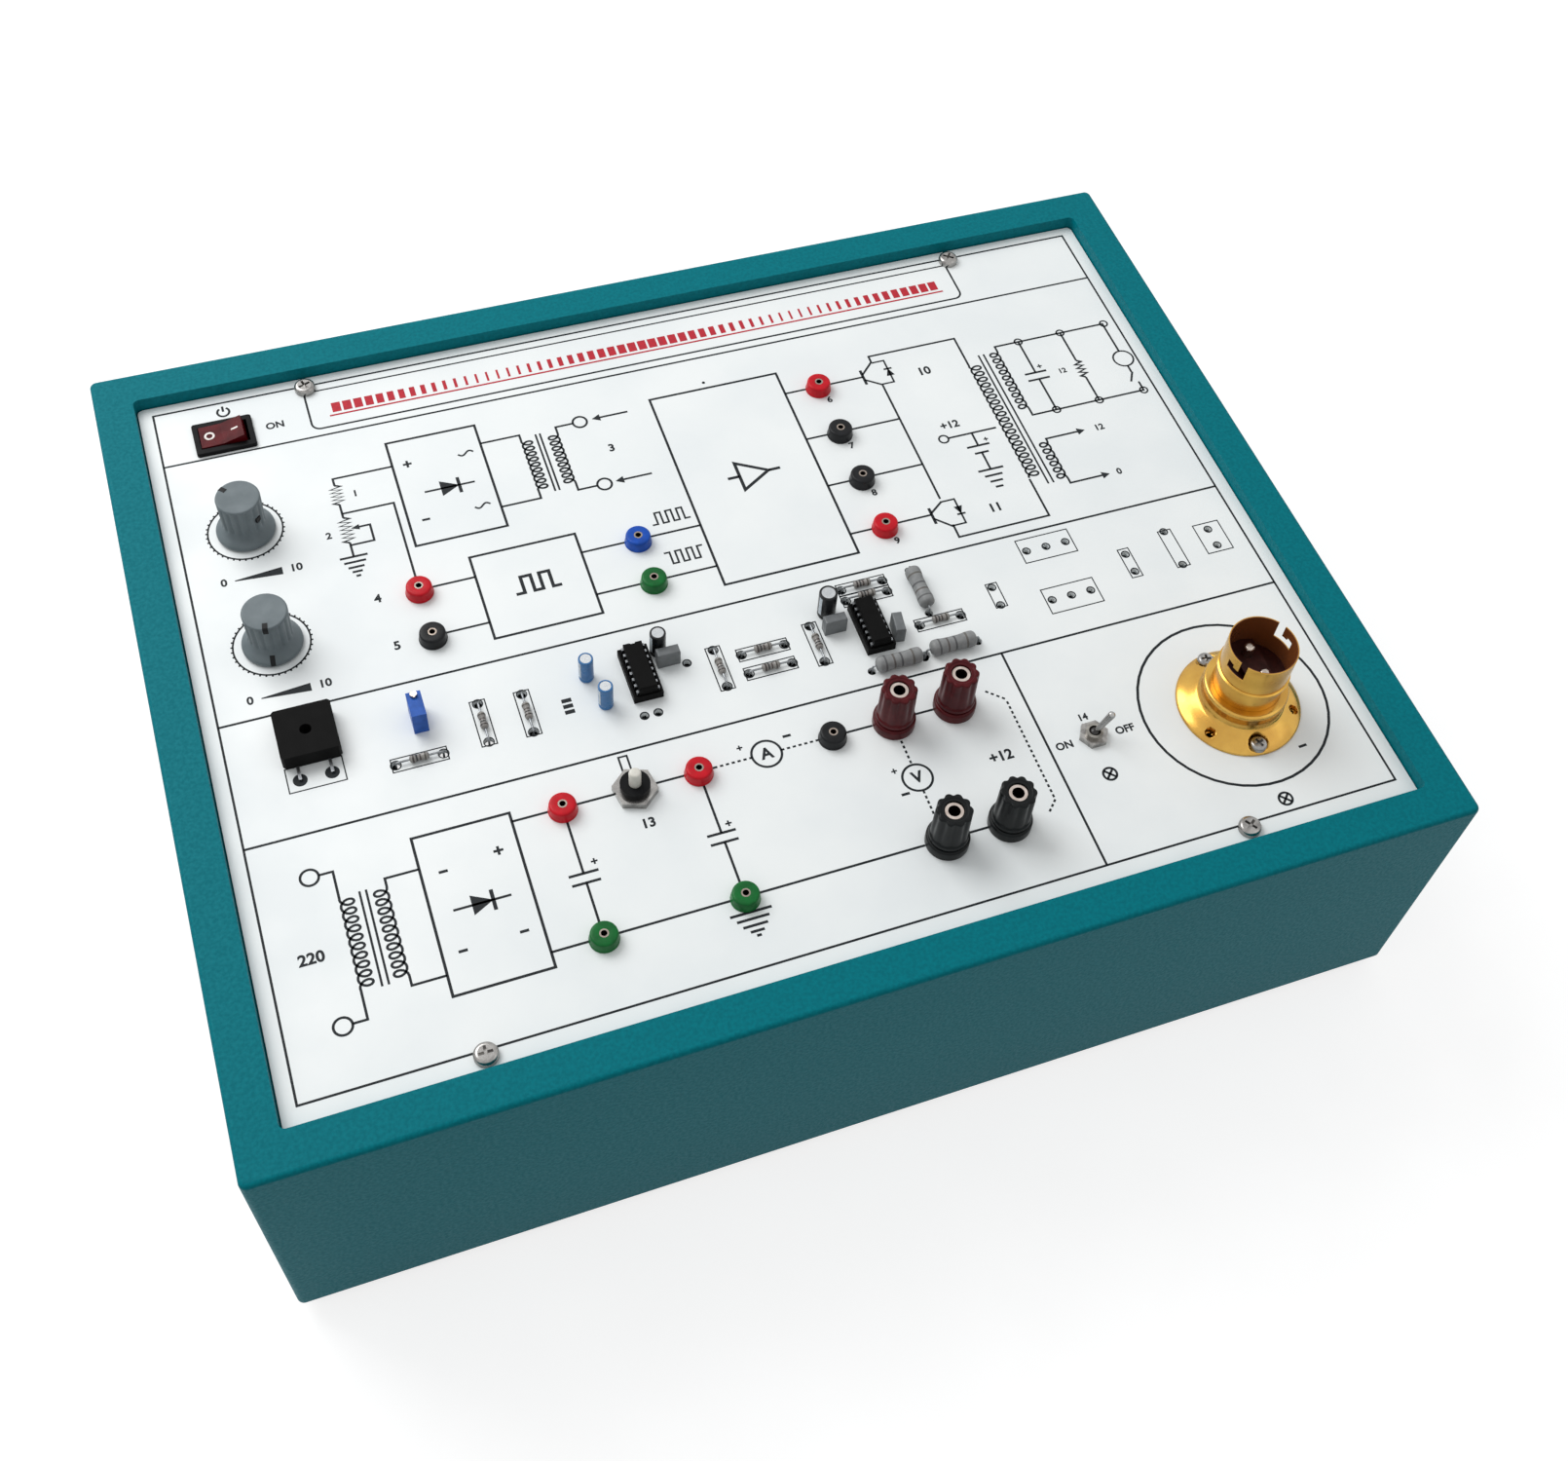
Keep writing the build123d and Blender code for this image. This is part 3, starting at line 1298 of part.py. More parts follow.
def mains_inlet():
    """Appliance inlet in the back wall, its mouth facing backwards."""
    back = case_depth / 2
    flange = block(inlet_flange_length, inlet_flange_thickness, inlet_flange_height, inlet_x,
                   back + inlet_flange_thickness / 2, inlet_z - inlet_flange_height / 2)
    flange = fillet(flange.edges().filter_by(Axis.Y), inlet_flange_radius)
    body = block(inlet_body_length, inlet_body_depth, inlet_body_height, inlet_x,
                 back - inlet_body_depth / 2, inlet_z - inlet_body_height / 2)
    mouth = block(inlet_mouth_length, inlet_mouth_depth, inlet_mouth_height, inlet_x,
                  back + inlet_flange_thickness - inlet_mouth_depth / 2, inlet_z - inlet_mouth_height / 2)
    top_corners = mouth.edges().filter_by(Axis.Y).sort_by(Axis.Z)[-2:]
    mouth = chamfer(top_corners, inlet_mouth_bevel)
    inlet = flange + body - mouth
    for x, z in inlet_pin_places():
        inlet -= block(inlet_pin_width, inlet_body_depth, inlet_pin_height, x,
                       back - inlet_body_depth / 2, z - inlet_pin_height / 2)
    return inlet


def inlet_pin_places():
    """Line, neutral and earth pins: two low, one high."""
    low = inlet_z - inlet_pin_offset
    return [(inlet_x - inlet_pin_pitch / 2, low), (inlet_x + inlet_pin_pitch / 2, low),
            (inlet_x, low + inlet_pin_rise)]


# Every node by name

nodes = {
    "case_shell": case_shell(),
    "base_plate": base_plate(),
    "base_screws": base_screws(),
    "rubber_feet": rubber_feet(),
    "front_panel": front_panel(),
    "panel_screws": panel_screws(),
    "fixing_nuts": fixing_nuts(),
    "power_switch_housing": power_switch_housing(),
    "power_rocker": power_rocker(),
    "terminal_tabs": terminal_tabs(),
    "potentiometers": potentiometers(),
    "bushing_nuts": bushing_nuts(),
    "lamp_switch_body": lamp_switch_body(),
    "lamp_switch_lever": lamp_switch_lever(),
    "breaker_body": breaker_body(),
    "breaker_button": breaker_button(),
    "socket_contacts": socket_contacts(),
    "post_studs": post_studs(),
    "bridge_rectifier": bridge_rectifier(),
    "trimmer_body": trimmer_body(),
    "trimmer_screw": trimmer_screw(),
    "resistors": resistors(),
    "power_resistors": power_resistors(),
    "component_leads": component_leads(),
    "chip_bodies": chip_bodies(),
    "chip_legs": chip_legs(),
    "blue_capacitors": blue_capacitors(),
    "black_capacitors": black_capacitors(),
    "box_capacitors": box_capacitors(),
    "lampholder_base": lampholder_base(),
    "lampholder_ring": lampholder_ring(),
    "lampholder_shell": lampholder_shell(),
    "lampholder_insulator": lampholder_insulator(),
    "lampholder_screws": lampholder_screws(),
    "transformer_cores": group(transformer_core(*place) for place in transformer_places),
    "transformer_windings": group(transformer_winding(*place) for place in transformer_places),
    "circuit_board": circuit_board(),
    "board_standoffs": board_standoffs(),
    "heat_sinks": heat_sinks(),
    "mains_inlet": mains_inlet(),
}
for name, (x, y, angle) in knob_places.items():
    nodes[f"{name}_pot_shaft"] = pot_shaft(x, y)
    nodes[f"{name}_knob"] = knob(x, y, angle)
for colour, places in socket_places.items():
    nodes[f"{colour}_sockets"] = group(socket_head(x, y) for x, y in places)
for name, (x, y) in post_places.items():
    nodes[f"{name}_post_insert"] = post_insert(x, y)
    nodes[f"{name}_post_cap"] = post_cap(x, y)
for colour in ("red", "black"):
    places = [place for name, place in post_places.items() if name.startswith(colour)]
    nodes[f"{colour}_post_bases"] = group(post_base(x, y) for x, y in places)
for name, (x, y) in lamp_contact_places.items():
    nodes[f"lamp_contact_{name}"] = lamp_contact(x, y)

for name, shape in nodes.items():
    export_step(Pos(0, plan_shift_y, 0) * shape, f"parts/{name}.step")
print(len(nodes), "nodes written")
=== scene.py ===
"""Inverter trainer: a printed demonstration panel in a shallow steel case, dressed over its CAD frame."""
import bmesh
import bpy
import math
import numpy as np
from mathutils import Euler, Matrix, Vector


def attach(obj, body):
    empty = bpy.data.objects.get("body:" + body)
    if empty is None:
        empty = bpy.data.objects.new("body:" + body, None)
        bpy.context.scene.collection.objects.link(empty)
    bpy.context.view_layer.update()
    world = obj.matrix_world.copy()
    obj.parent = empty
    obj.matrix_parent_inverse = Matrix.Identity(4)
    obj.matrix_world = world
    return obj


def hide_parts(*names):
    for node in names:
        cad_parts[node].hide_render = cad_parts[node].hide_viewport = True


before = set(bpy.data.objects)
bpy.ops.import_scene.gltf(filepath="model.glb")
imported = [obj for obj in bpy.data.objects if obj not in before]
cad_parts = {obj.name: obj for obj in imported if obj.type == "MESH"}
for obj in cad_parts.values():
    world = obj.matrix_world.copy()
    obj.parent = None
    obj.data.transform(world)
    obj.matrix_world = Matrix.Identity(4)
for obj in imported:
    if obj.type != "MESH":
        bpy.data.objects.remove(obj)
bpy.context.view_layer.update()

# Case and its base plate
# The case is folded from 1.2 mm sheet steel, its corners welded and ground, then powder coated teal
# in a fine texture. The flat base plate is coated dark grey and screwed to the bottom flange.

mm = 0.001
case_teal, case_teal_deep = "007681", "006B76"
base_grey, base_grey_deep = "3B4043", "2C3134"


def linear(code):
    """An sRGB hex value as linear red, green and blue, and an alpha of 1."""
    parts = np.array([int(code[i:i + 2], 16) for i in (0, 2, 4)]) / 255
    return [*np.where(parts <= 0.04045, parts / 12.92, ((parts + 0.055) / 1.055) ** 2.4), 1.0]


def add(material, kind, inputs={}, **settings):
    """A node with its settings; each input gets a value, or a link from another node's output."""
    tree = material.node_tree
    node = tree.nodes.new(kind)
    for name, value in settings.items():
        setattr(node, name, value)
    for socket, value in inputs.items():
        if isinstance(value, bpy.types.NodeSocket):
            tree.links.new(value, node.inputs[socket])
        else:
            node.inputs[socket].default_value = value
    return node


def finish(name, colours, grain, roughness, relief=0.0, relief_grain=1.0, stretch=(1, 1, 1), **constants):
    """A surface whose colour and roughness drift between two values in patches of grain mm, with
    dents relief mm deep and relief_grain mm wide. The other names are the shader's own sockets."""
    made = bpy.data.materials.new(name)
    made.use_nodes = True
    shader = made.node_tree.nodes["Principled BSDF"]
    place = add(made, "ShaderNodeMapping", {
        "Vector": add(made, "ShaderNodeTexCoord").outputs["Object"], "Scale": stretch}).outputs["Vector"]
    patches = add(made, "ShaderNodeTexNoise", {"Vector": place, "Scale": 1 / (grain * mm), "Detail": 4.0})
    drift = add(made, "ShaderNodeMapRange", {
        "Value": patches.outputs["Fac"], "From Min": 0.35, "From Max": 0.65}).outputs["Result"]
    colour = add(made, "ShaderNodeMix", {0: drift, 6: linear(colours[0]), 7: linear(colours[1])},
                 data_type="RGBA").outputs[2]
    made.node_tree.links.new(colour, shader.inputs["Base Color"])
    rough = add(made, "ShaderNodeMapRange", {"Value": drift, "To Min": roughness[0], "To Max": roughness[1]})
    made.node_tree.links.new(rough.outputs["Result"], shader.inputs["Roughness"])
    if relief:
        dents = add(made, "ShaderNodeTexNoise", {
            "Vector": place, "Scale": 1 / (relief_grain * mm), "Detail": 2.0})
        bump = add(made, "ShaderNodeBump", {"Height": dents.outputs["Fac"], "Distance": relief * mm})
        made.node_tree.links.new(bump.outputs["Normal"], shader.inputs["Normal"])
    for socket, value in constants.items():
        shader.inputs[socket.replace("_", " ")].default_value = value
    return made


def dress(material, *nodes):
    """Gives CAD nodes their finish."""
    for node in nodes:
        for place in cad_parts[node].material_slots:
            place.material = material


# Fine-texture polyester powder coat: close-set dimples that break the light into a satin speckle.
powder_coat = finish("teal_texture_powder_coat", (case_teal, case_teal_deep), 1.2, (0.42, 0.54),
                     relief=0.06, relief_grain=0.7, Specular_IOR_Level=0.07)
# Smooth semi-matt powder coat.
base_coat = finish("grey_powder_coat_base", (base_grey, base_grey_deep), 5.0, (0.5, 0.62),
                   relief=0.04, relief_grain=0.8)
dress(powder_coat, "case_shell")
dress(base_coat, "base_plate")

# Screws, nuts and feet
# Cross-recess screws and plain nuts are cold-headed steel with bright nickel plate. The four feet are
# moulded rubber, dusty at the edge, each held by a screw through its middle.

# Bright nickel plate on cold-headed steel: pale, sharp highlights, a little uneven.
nickel_plate = finish("nickel_plated_steel", ("A8A6A3", "858381"), 2.5, (0.18, 0.30),
                      relief=0.004, relief_grain=1.2, Metallic=1.0)
# Moulded rubber: very matt, greyed with dust.
foot_rubber = finish("moulded_black_rubber", ("1F2021", "2E2F2E"), 3.0, (0.75, 0.9),
                     relief=0.05, relief_grain=0.7)
dress(nickel_plate, "base_screws", "panel_screws", "fixing_nuts", "lampholder_screws")
dress(foot_rubber, "rubber_feet")

# Front panel and its print
# A 2 mm sheet with a white satin enamel face. The circuit diagram is screen printed on it in black
# lines from 0.4 to 1.2 mm wide, and a pattern of pulse bars in red along the top.

plan_shift = -1.3
panel_top = 108.0
print_height = 0.05
panel_white, panel_shade = "F1F5F5", "EAEFF0"
frame_left, frame_right, frame_bottom, frame_top = -181, 180.8, -134.8, 138
header_y, strip_y, power_y = 112.6, -1.8, -48.5
place_line, thin_line, frame_line, heavy_line, bold_line = 0.4, 0.7, 0.75, 0.9, 1.2
arrowhead = [3.2, 0.1]
coil_overlap = 0.55
capital_share, letter_weight = 0.72, 0.045


def grid_faces(rows, columns, closed):
    """Quads between neighbours of a grid whose columns wrap round, and whose rows do if closed."""
    row = np.arange(rows if closed else rows - 1)[:, None]
    column = np.arange(columns)[None, :]
    after, beside = (row + 1) % rows, (column + 1) % columns
    corners = [row * columns + column, after * columns + column,
               after * columns + beside, row * columns + beside]
    return np.stack([corner + 0 * column for corner in corners], -1).reshape(-1, 4)


def stroke(points, width=0.8, closed=False, low=0.0, high=print_height):
    """A flat bar along a line: each point moves both ways along the sum of its two runs' normals,
    over one plus their product, times half the width, so that corners are mitred."""
    line = np.array(points, float)
    ahead = np.roll(line, -1, 0) - line
    ahead /= np.linalg.norm(ahead, axis=1, keepdims=True)
    behind = np.roll(ahead, 1, 0)
    if not closed:
        ahead[-1], behind[0] = behind[-1], ahead[0]
    first = np.stack([-behind[:, 1], behind[:, 0]], 1)
    second = np.stack([-ahead[:, 1], ahead[:, 0]], 1)
    bend = np.maximum(1 + (first * second).sum(1, keepdims=True), 0.3)
    side = (first + second) / bend * np.broadcast_to(width, len(line))[:, None] / 2
    left, right = line + side, line - side
    section = [np.column_stack([edge, np.full(len(line), height)])
               for edge, height in ((left, low), (right, low), (right, high), (left, high))]
    faces = grid_faces(len(line), 4, closed)
    if not closed:
        faces = np.vstack([faces, [0, 1, 2, 3], np.arange(4)[::-1] + 4 * (len(line) - 1)])
    return np.stack(section, 1).reshape(-1, 3), faces


def joined(parts):
    """One set of points and faces: each part's faces count on from the points before it."""
    starts = np.cumsum([0] + [len(points) for points, faces in parts])
    faces = [face for start, (points, part) in zip(starts, parts) for face in (part + start).tolist()]
    return np.concatenate([points for points, part in parts]), faces


def build(name, parts, material, slot, body, *stands_for, sharp=35.0, weld=True):
    """A piece from parts in the plan's millimetres. Points that meet are welded, and edges that turn
    by less than sharp degrees are shaded smooth."""
    points, faces = joined(parts)
    mesh = bpy.data.meshes.new(name)
    mesh.from_pydata((points + [0, plan_shift, 0]) * mm, [], faces)
    if weld:
        work = bmesh.new()
        work.from_mesh(mesh)
        bmesh.ops.remove_doubles(work, verts=work.verts, dist=0.001 * mm)
        work.to_mesh(mesh)
        work.free()
    mesh.materials.append(material)
    mesh.shade_smooth()
    mesh.set_sharp_from_angle(angle=math.radians(sharp))
    made = bpy.data.objects.new(name, mesh)
    bpy.context.scene.collection.objects.link(made)
    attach(made, body)
    if stands_for:
        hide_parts(*stands_for)
    return made


def raised(parts, height):
    """The same parts, higher by that much."""
    return [(points + [0, 0, height], faces) for points, faces in parts]


def arc(x, y, radius, start=0.0, end=360.0, steps=40):
    """Points on a circle between two angles in degrees."""
    turn = np.radians(np.linspace(start, end, steps))
    return np.stack([x + radius * np.cos(turn), y + radius * np.sin(turn)], 1)


def ring(x, y, radius, width=0.8):
    """A round line of 45 points, 8 degrees apart."""
    return stroke(arc(x, y, radius, 0, 352, 45), width, closed=True)


def dot(x, y, radius):
    """A filled pad: a round line of 24 points that is wide enough to reach the middle."""
    return stroke(arc(x, y, radius / 2, 0, 345, 24), radius * 0.999, closed=True)


def box_line(x0, y0, x1, y1, width=0.8):
    """A rectangle's outline."""
    return stroke([(x0, y0), (x1, y0), (x1, y1), (x0, y1)], width, closed=True)


def dashes(start, end, on=1.1, off=0.9, width=frame_line):
    """A straight line in pieces: the run is cut at every on + off."""
    start, end = np.array(start, float), np.array(end, float)
    reach = np.linalg.norm(end - start)
    along = (end - start) / reach
    return [stroke([start + along * s, start + along * min(s + on, reach)], width)
            for s in np.arange(0, reach - on / 2, on + off)]


def coil(x, half, y0, y1, turns, width=0.8):
    """A winding: a point that goes round while it climbs, and rises past the next turn's start, so
    that each turn crosses the last."""
    angle = np.linspace(0, 2 * math.pi * turns, 16 * turns + 1)
    climb = y0 + (y1 - y0) * angle / angle[-1]
    rise = (y1 - y0) / turns * coil_overlap * np.sin(angle)
    return stroke(np.stack([x - half * np.cos(angle), climb + rise], 1), width)


def zigzag(x, y0, y1, peaks, half, width=0.85):
    """A resistor's line: y in equal steps, x to one side and the other."""
    y = np.linspace(y0, y1, 2 * peaks + 2)
    side = half * (np.arange(2 * peaks + 2) % 2 * 2 - 1)
    side[0] = side[-1] = 0
    return stroke(np.stack([x + side, y], 1), width)


def bars(x, heights, widths, width=heavy_line):
    """Level bars, one above the other: an earth sign or a capacitor's plates."""
    return [stroke([(x - w / 2, y), (x + w / 2, y)], width) for y, w in zip(heights, widths)]


def lettering(text, x, y, height, turn=0.0):
    """Figures and signs set level on the panel, middle on x, y, made a mesh and then placed."""
    curve = bpy.data.curves.new("figures", "FONT")
    curve.body, curve.size = text, height / capital_share
    curve.align_x, curve.align_y = "CENTER", "CENTER"
    curve.extrude, curve.offset = print_height / 2, letter_weight * height
    curve.resolution_u = 4
    holder = bpy.data.objects.new("figures", curve)
    bpy.context.scene.collection.objects.link(holder)
    mesh = bpy.data.meshes.new_from_object(holder)
    mesh.calc_loop_triangles()
    points = np.empty(3 * len(mesh.vertices))
    mesh.vertices.foreach_get("co", points)
    faces = np.empty(3 * len(mesh.loop_triangles), int)
    mesh.loop_triangles.foreach_get("vertices", faces)
    bpy.data.objects.remove(holder)
    bpy.data.meshes.remove(mesh)
    points, angle = points.reshape(-1, 3), math.radians(turn)
    spun = np.stack([points[:, 0] * math.cos(angle) - points[:, 1] * math.sin(angle),
                     points[:, 0] * math.sin(angle) + points[:, 1] * math.cos(angle)], 1)
    return np.column_stack([spun + [x, y], points[:, 2] + print_height / 2]), faces.reshape(-1, 3)


def rounded_corner(x, y, radius, start):
    """Quarter turn round a corner."""
    return arc(x, y, radius, start, start + 90, 7).tolist()


lines = [
    # frame of the panel and the band along its top
    box_line(frame_left, frame_bottom, frame_right, frame_top, frame_line),
    stroke([(frame_left, header_y), (frame_right, header_y)], frame_line),
    stroke([(-128, frame_top)] + rounded_corner(-125, 119, 3, 180) + rounded_corner(124.3, 119, 3, 270)
           + [(127.3, frame_top)], frame_line),
    stroke([(-128, 134.6), (127.3, 134.6)], 0.6),
    # divider: two resistors, the second with its wiper, and earth
    stroke([(-104.8, 91.2), (-126, 91.2), (-126, 88)]), zigzag(-126, 88, 79, 5, 2.0),
    zigzag(-126, 72.7, 61.2, 6, 2.0), stroke([(-126, 74.6), (-107.9, 74.6), (-107.9, 38)]),
    stroke([(-121.5, 67.3), (-117.8, 67.3), (-117.8, 60), (-126, 60)]),
    stroke([(-121.5, 67.3), (-124.3, 67.3)], [2.4, 0.1]),
    # first rectifier and its transformer
    box_line(-104.8, 53.3, -72.4, 102.4, heavy_line), stroke([(-72.4, 93.2), (-58, 93.2), (-58, 90)]),
    stroke([(-72.4, 62.2), (-58, 62.2), (-58, 66)]), coil(-56.2, 1.9, 66, 90, 9),
    coil(-46.3, -1.9, 66, 90, 9), stroke([(-52.3, 64), (-52.3, 92)], thin_line),
    stroke([(-50.7, 64), (-50.7, 92)], thin_line), stroke([(-44.4, 90), (-44.4, 93.4), (-37.8, 93.4)]),
    stroke([(-44.4, 66), (-44.4, 62.2), (-37.3, 62.2)]), ring(-35.2, 93.4, 2.6), ring(-34.7, 62.2, 2.6),
    stroke([(-27.5, 93.6), (-30.5, 93.6)], arrowhead), stroke([(-27.5, 62.4), (-30.5, 62.4)], arrowhead),
    # pulse stage with its two outputs, and the amplifier
    box_line(-88.5, 7.1, -51, 43.2, heavy_line), box_line(-7.5, 6.6, 42.3, 96.9, heavy_line),
    dot(14.5, 99.8, 0.6),
    # the two switching stages
    stroke([(79.5, 92.5), (79.5, 95.5), (115.3, 95.5), (115.3, 80)]),
    stroke([(79.5, 9), (79.5, 3), (115, 3), (115, 21)]),
    # output transformer and what it feeds
    coil(117.3, 2.2, 21.5, 80, 19), coil(127.2, -1.8, 53.5, 84.5, 10), coil(127.2, -1.8, 17.5, 36.5, 6),
    stroke([(121.0, 17), (121.0, 84.5)], thin_line), stroke([(123.1, 17), (123.1, 84.5)], thin_line),
    stroke([(129, 84.5), (129, 87), (175.5, 87), (175.5, 71.5)]),
    stroke([(129, 53.5), (129, 50), (176, 50), (176, 54.6)]), stroke([(175.8, 60), (173.2, 55.4)]),
    ring(175.5, 67.5, 4.0, thin_line), zigzag(157, 71.5, 62.5, 4, 1.5),
    stroke([(129, 36.5), (129, 37.5), (142, 37.5)]), stroke([(142, 37.5), (145, 37.5)], arrowhead),
    stroke([(129, 17.5), (129, 15), (142, 15)]), stroke([(142, 15), (145, 15)], arrowhead),
    # supply of the stages
    ring(91.7, 48, 1.8, thin_line),
    # places of parts in the component strip
    box_line(-164, -32.7, -146, -23.5, place_line), dot(-160, -28.7, 2.3), dot(-149.9, -28.7, 2.3),
    box_line(80, -30.3, 84.2, -19.7, place_line), box_line(98, -15, 118.3, -4.6, place_line),
    box_line(98, -38.3, 118, -27.5, place_line), box_line(132.1, -32, 136.3, -19, place_line),
    box_line(150, -32.5, 155, -15.5, place_line), box_line(163.7, -30, 173.8, -16.7, place_line),
    # mains transformer and the second rectifier
    ring(-163.9, -63.9, 2.8), ring(-164, -115, 2.8),
    stroke([(-161.1, -63.9), (-156.8, -63.9), (-156.8, -74)]),
    stroke([(-161.2, -115), (-156.8, -115), (-156.8, -105)]), coil(-154.8, 2.1, -105, -74, 10),
    coil(-144.5, -2.1, -105, -74, 10), stroke([(-150.6, -106), (-150.6, -73)], thin_line),
    stroke([(-148.6, -106), (-148.6, -73)], thin_line), stroke([(-142.4, -74), (-142.4, -71), (-131.8, -71)]),
    stroke([(-142.4, -105), (-142.4, -108.4), (-131.8, -108.4)]),
    box_line(-131.8, -115.6, -100.7, -59.8, heavy_line),
    # smoothing, breaker and the two meters
    box_line(-62.4, -56.6, -59.6, -50.3, 0.65), ring(-16, -63.1, 5.0), ring(28, -86.3, 5.0),
    # lamp circle
    ring(142.2, -90.9, 32.8, 0.95), stroke([(155.5, -113.6), (158.5, -113.4)], 0.95)]
# Level wires and dividing lines: y, and where each starts and ends.
lines += [stroke([(x0, y), (x1, y)]) for y, x0, x1 in (
        (strip_y, frame_left, frame_right), (power_y, frame_left, frame_right), (93.6, -27.5, -17),
        (62.4, -27.5, -17), (34.4, -104, -88.5), (14.2, -104, -88.5), (34.4, -51, -35), (34.4, -27, -7.5),
        (15.3, -51, -35), (15.3, -27, -7.5), (86, 42.3, 51), (86, 59.5, 73.8), (62.2, 42.3, 51),
        (62.2, 59.5, 79.5), (38.8, 42.3, 51), (38.8, 59.5, 79.5), (15.4, 42.3, 51), (15.4, 59.5, 73.8),
        (48, 93.5, 113), (-63.1, -100.7, -88.6), (-63.1, -80.2, -66.5), (-63.1, -55, -43.6),
        (-63.1, -35.2, -34), (-110.5, -100.7, -88.6), (-110.5, -80.2, -43.6), (-110.5, -35.2, 21),
        (-110.5, 35.3, 43), (-63.1, 10.9, 21), (-63.1, 35.3, 43))]
# Upright wires: x, and where each starts and ends.
lines += [stroke([(x, y0), (x, y1)]) for x, y0, y1 in (
        (74, power_y, frame_bottom), (-126, 79, 72.7), (-126, 61.2, 54.8), (79.5, 80.3, 21.5),
        (175.5, 63.5, 60), (139, 87, 70), (139, 66.5, 50), (157, 87, 71.5), (157, 62.5, 50), (103, 48, 41.5),
        (103, 38, 29.5), (-84.3, -68, -87.6), (-84.3, -91, -106), (-39.2, -68, -86.8), (-39.2, -90.2, -106),
        (-39.2, -115, -116))]
for y0, side in ((82, 1), (18.5, -1)):
    # a transistor: base bar, two legs and the diode across it
    lines += [stroke([(73.8, y0), (73.8, y0 + 7.5 * side)], 1.1),
              stroke([(73.8, y0 + 5 * side), (79.5, y0 + 10.5 * side)]),
              stroke([(73.8, y0 + 2.5 * side), (79.5, y0 - 1.7 * side)]),
              stroke([(79.5, y0 - 1.5 * side), (84.4, y0 - 1.5 * side), (84.4, y0 + 10 * side),
                      (79.5, y0 + 10 * side)], thin_line),
              stroke([(84.4, y0 + 2 * side), (84.4, y0 + 5.5 * side)], [3.2, 0.2]),
              stroke([(82.8, y0 + 5.6 * side), (86.0, y0 + 5.6 * side)])]
for x, y, level in ((-16.7, 41.6, 1), (-16.7, 23.2, -1)):
    # three pulses beside each output
    wave = [(-7, -2.6), (-5, -2.6), (-5, 2.6), (-3, 2.6), (-3, -2.6), (-1, -2.6), (-1, 2.6),
            (1, 2.6), (1, -2.6), (3, -2.6), (3, 2.6), (5, 2.6), (5, -2.6), (7, -2.6)]
    lines.append(stroke([(x + u, y + level * v) for u, v in wave], thin_line))
for x, y in ((-87.5, 76.3), (-116.2, -88.0)):
    # the sign of a rectifier: a diode in its line
    lines += [stroke([(x - 9, y), (x + 9, y)]), stroke([(x - 3.2, y), (x + 3.2, y)], [7.0, 0.3]),
              stroke([(x + 3.4, y - 3.6), (x + 3.4, y + 3.6)], bold_line)]
for x, y in ((89.5, -104), (141.5, -130.2)):
    # the sign of a lamp: a circle with a cross
    across = 2.3
    cross = across * math.sqrt(0.5)
    lines += [ring(x, y, across), stroke([(x - cross, y - cross), (x + cross, y + cross)]),
              stroke([(x - cross, y + cross), (x + cross, y - cross)])]
for y in (55.7, 5.6):
    # under each knob a wedge that grows from 0 to 10
    lines += [stroke([(-166, y), (-150, y)], [0.4, 3.2]), lettering("0", -169.6, y, 3.1),
              lettering("10", -145.4, y, 3.1)]
lines += [stroke([(-77, 23), (-74, 23), (-74, 30), (-70.5, 30), (-70.5, 23), (-67.5, 23), (-67.5, 30),
                  (-64, 30), (-64, 23), (-61, 23)], bold_line),
          stroke([(13, 45.5), (13, 58.5), (24, 52)], bold_line, closed=True),
          stroke([(8.5, 52), (13, 52)], bold_line), stroke([(24, 52), (28.5, 52)], bold_line),
          stroke(arc(-157, 133.4, 2.1, 125, 415, 24)), stroke([(-157, 133.6), (-157, 136.2)])]
for x, y in ((-158.9, 76.5), (-158.9, 26.3)):
    # ticked circle round each knob
    dial, tick, dial_line = 12.6, 0.75, 0.6
    lines.append(ring(x, y, dial, dial_line))
    for turn in np.radians(np.arange(0, 360, 9)):
        way = np.array([math.cos(turn), math.sin(turn)])
        lines.append(stroke([way * (dial - 0.1) + [x, y], way * (dial + tick) + [x, y]], dial_line))
lines += bars(-126, (54.8, 52.5, 50.2, 48.2, 46.3), (9.5, 7.5, 5.5, 3.5, 1.6))
lines += bars(103, (29.5, 26.6, 23.8, 21), (10, 7, 5, 3)) + bars(103, (41.5, 38), (9, 5.5))
lines += bars(139, (70, 66.5), (9, 9)) + bars(-84.3, (-87.6, -91), (9.5, 9.2))
lines += bars(-39.2, (-86.8, -90.2), (9.5, 9.2))
lines += bars(-39.2, (-116, -118.3, -120.6, -122.6, -124.2), (13.5, 10.5, 8, 4.5, 1.5))
lines += bars(-72.4, (-24, -26.3, -28.6), (3.3, 3.3, 3.3), 1.5)
lines += dashes((-34, -63.1), (-21, -63.1)) + dashes((-11, -63.1), (2.2, -63.1))
lines += dashes((28, -71.5), (28, -81)) + dashes((28, -91.5), (28, -103))
lines += dashes((62.5, -61.5), (68, -66.5)) + dashes((68, -67.5), (68, -107))
lines += dashes((68, -107.5), (63.5, -112))
lines += [ring(x, y, 1.5, 0.65) for x, y in (
    (139, 87), (157, 87), (139, 50), (157, 50), (176, 87), (176, 50))]
resistor_places = [
    (-122.8, -32.2, 0), (-100.3, -24.5, 90), (-85.7, -25.0, 90), (-20.0, -26.4, 90), (-3.8, -23.4, 0),
    (-3.7, -31.4, 0), (14.7, -26.4, 90), (59.0, -29.4, 0), (38.1, -7.4, 0), (38.1, -12.2, 0)]
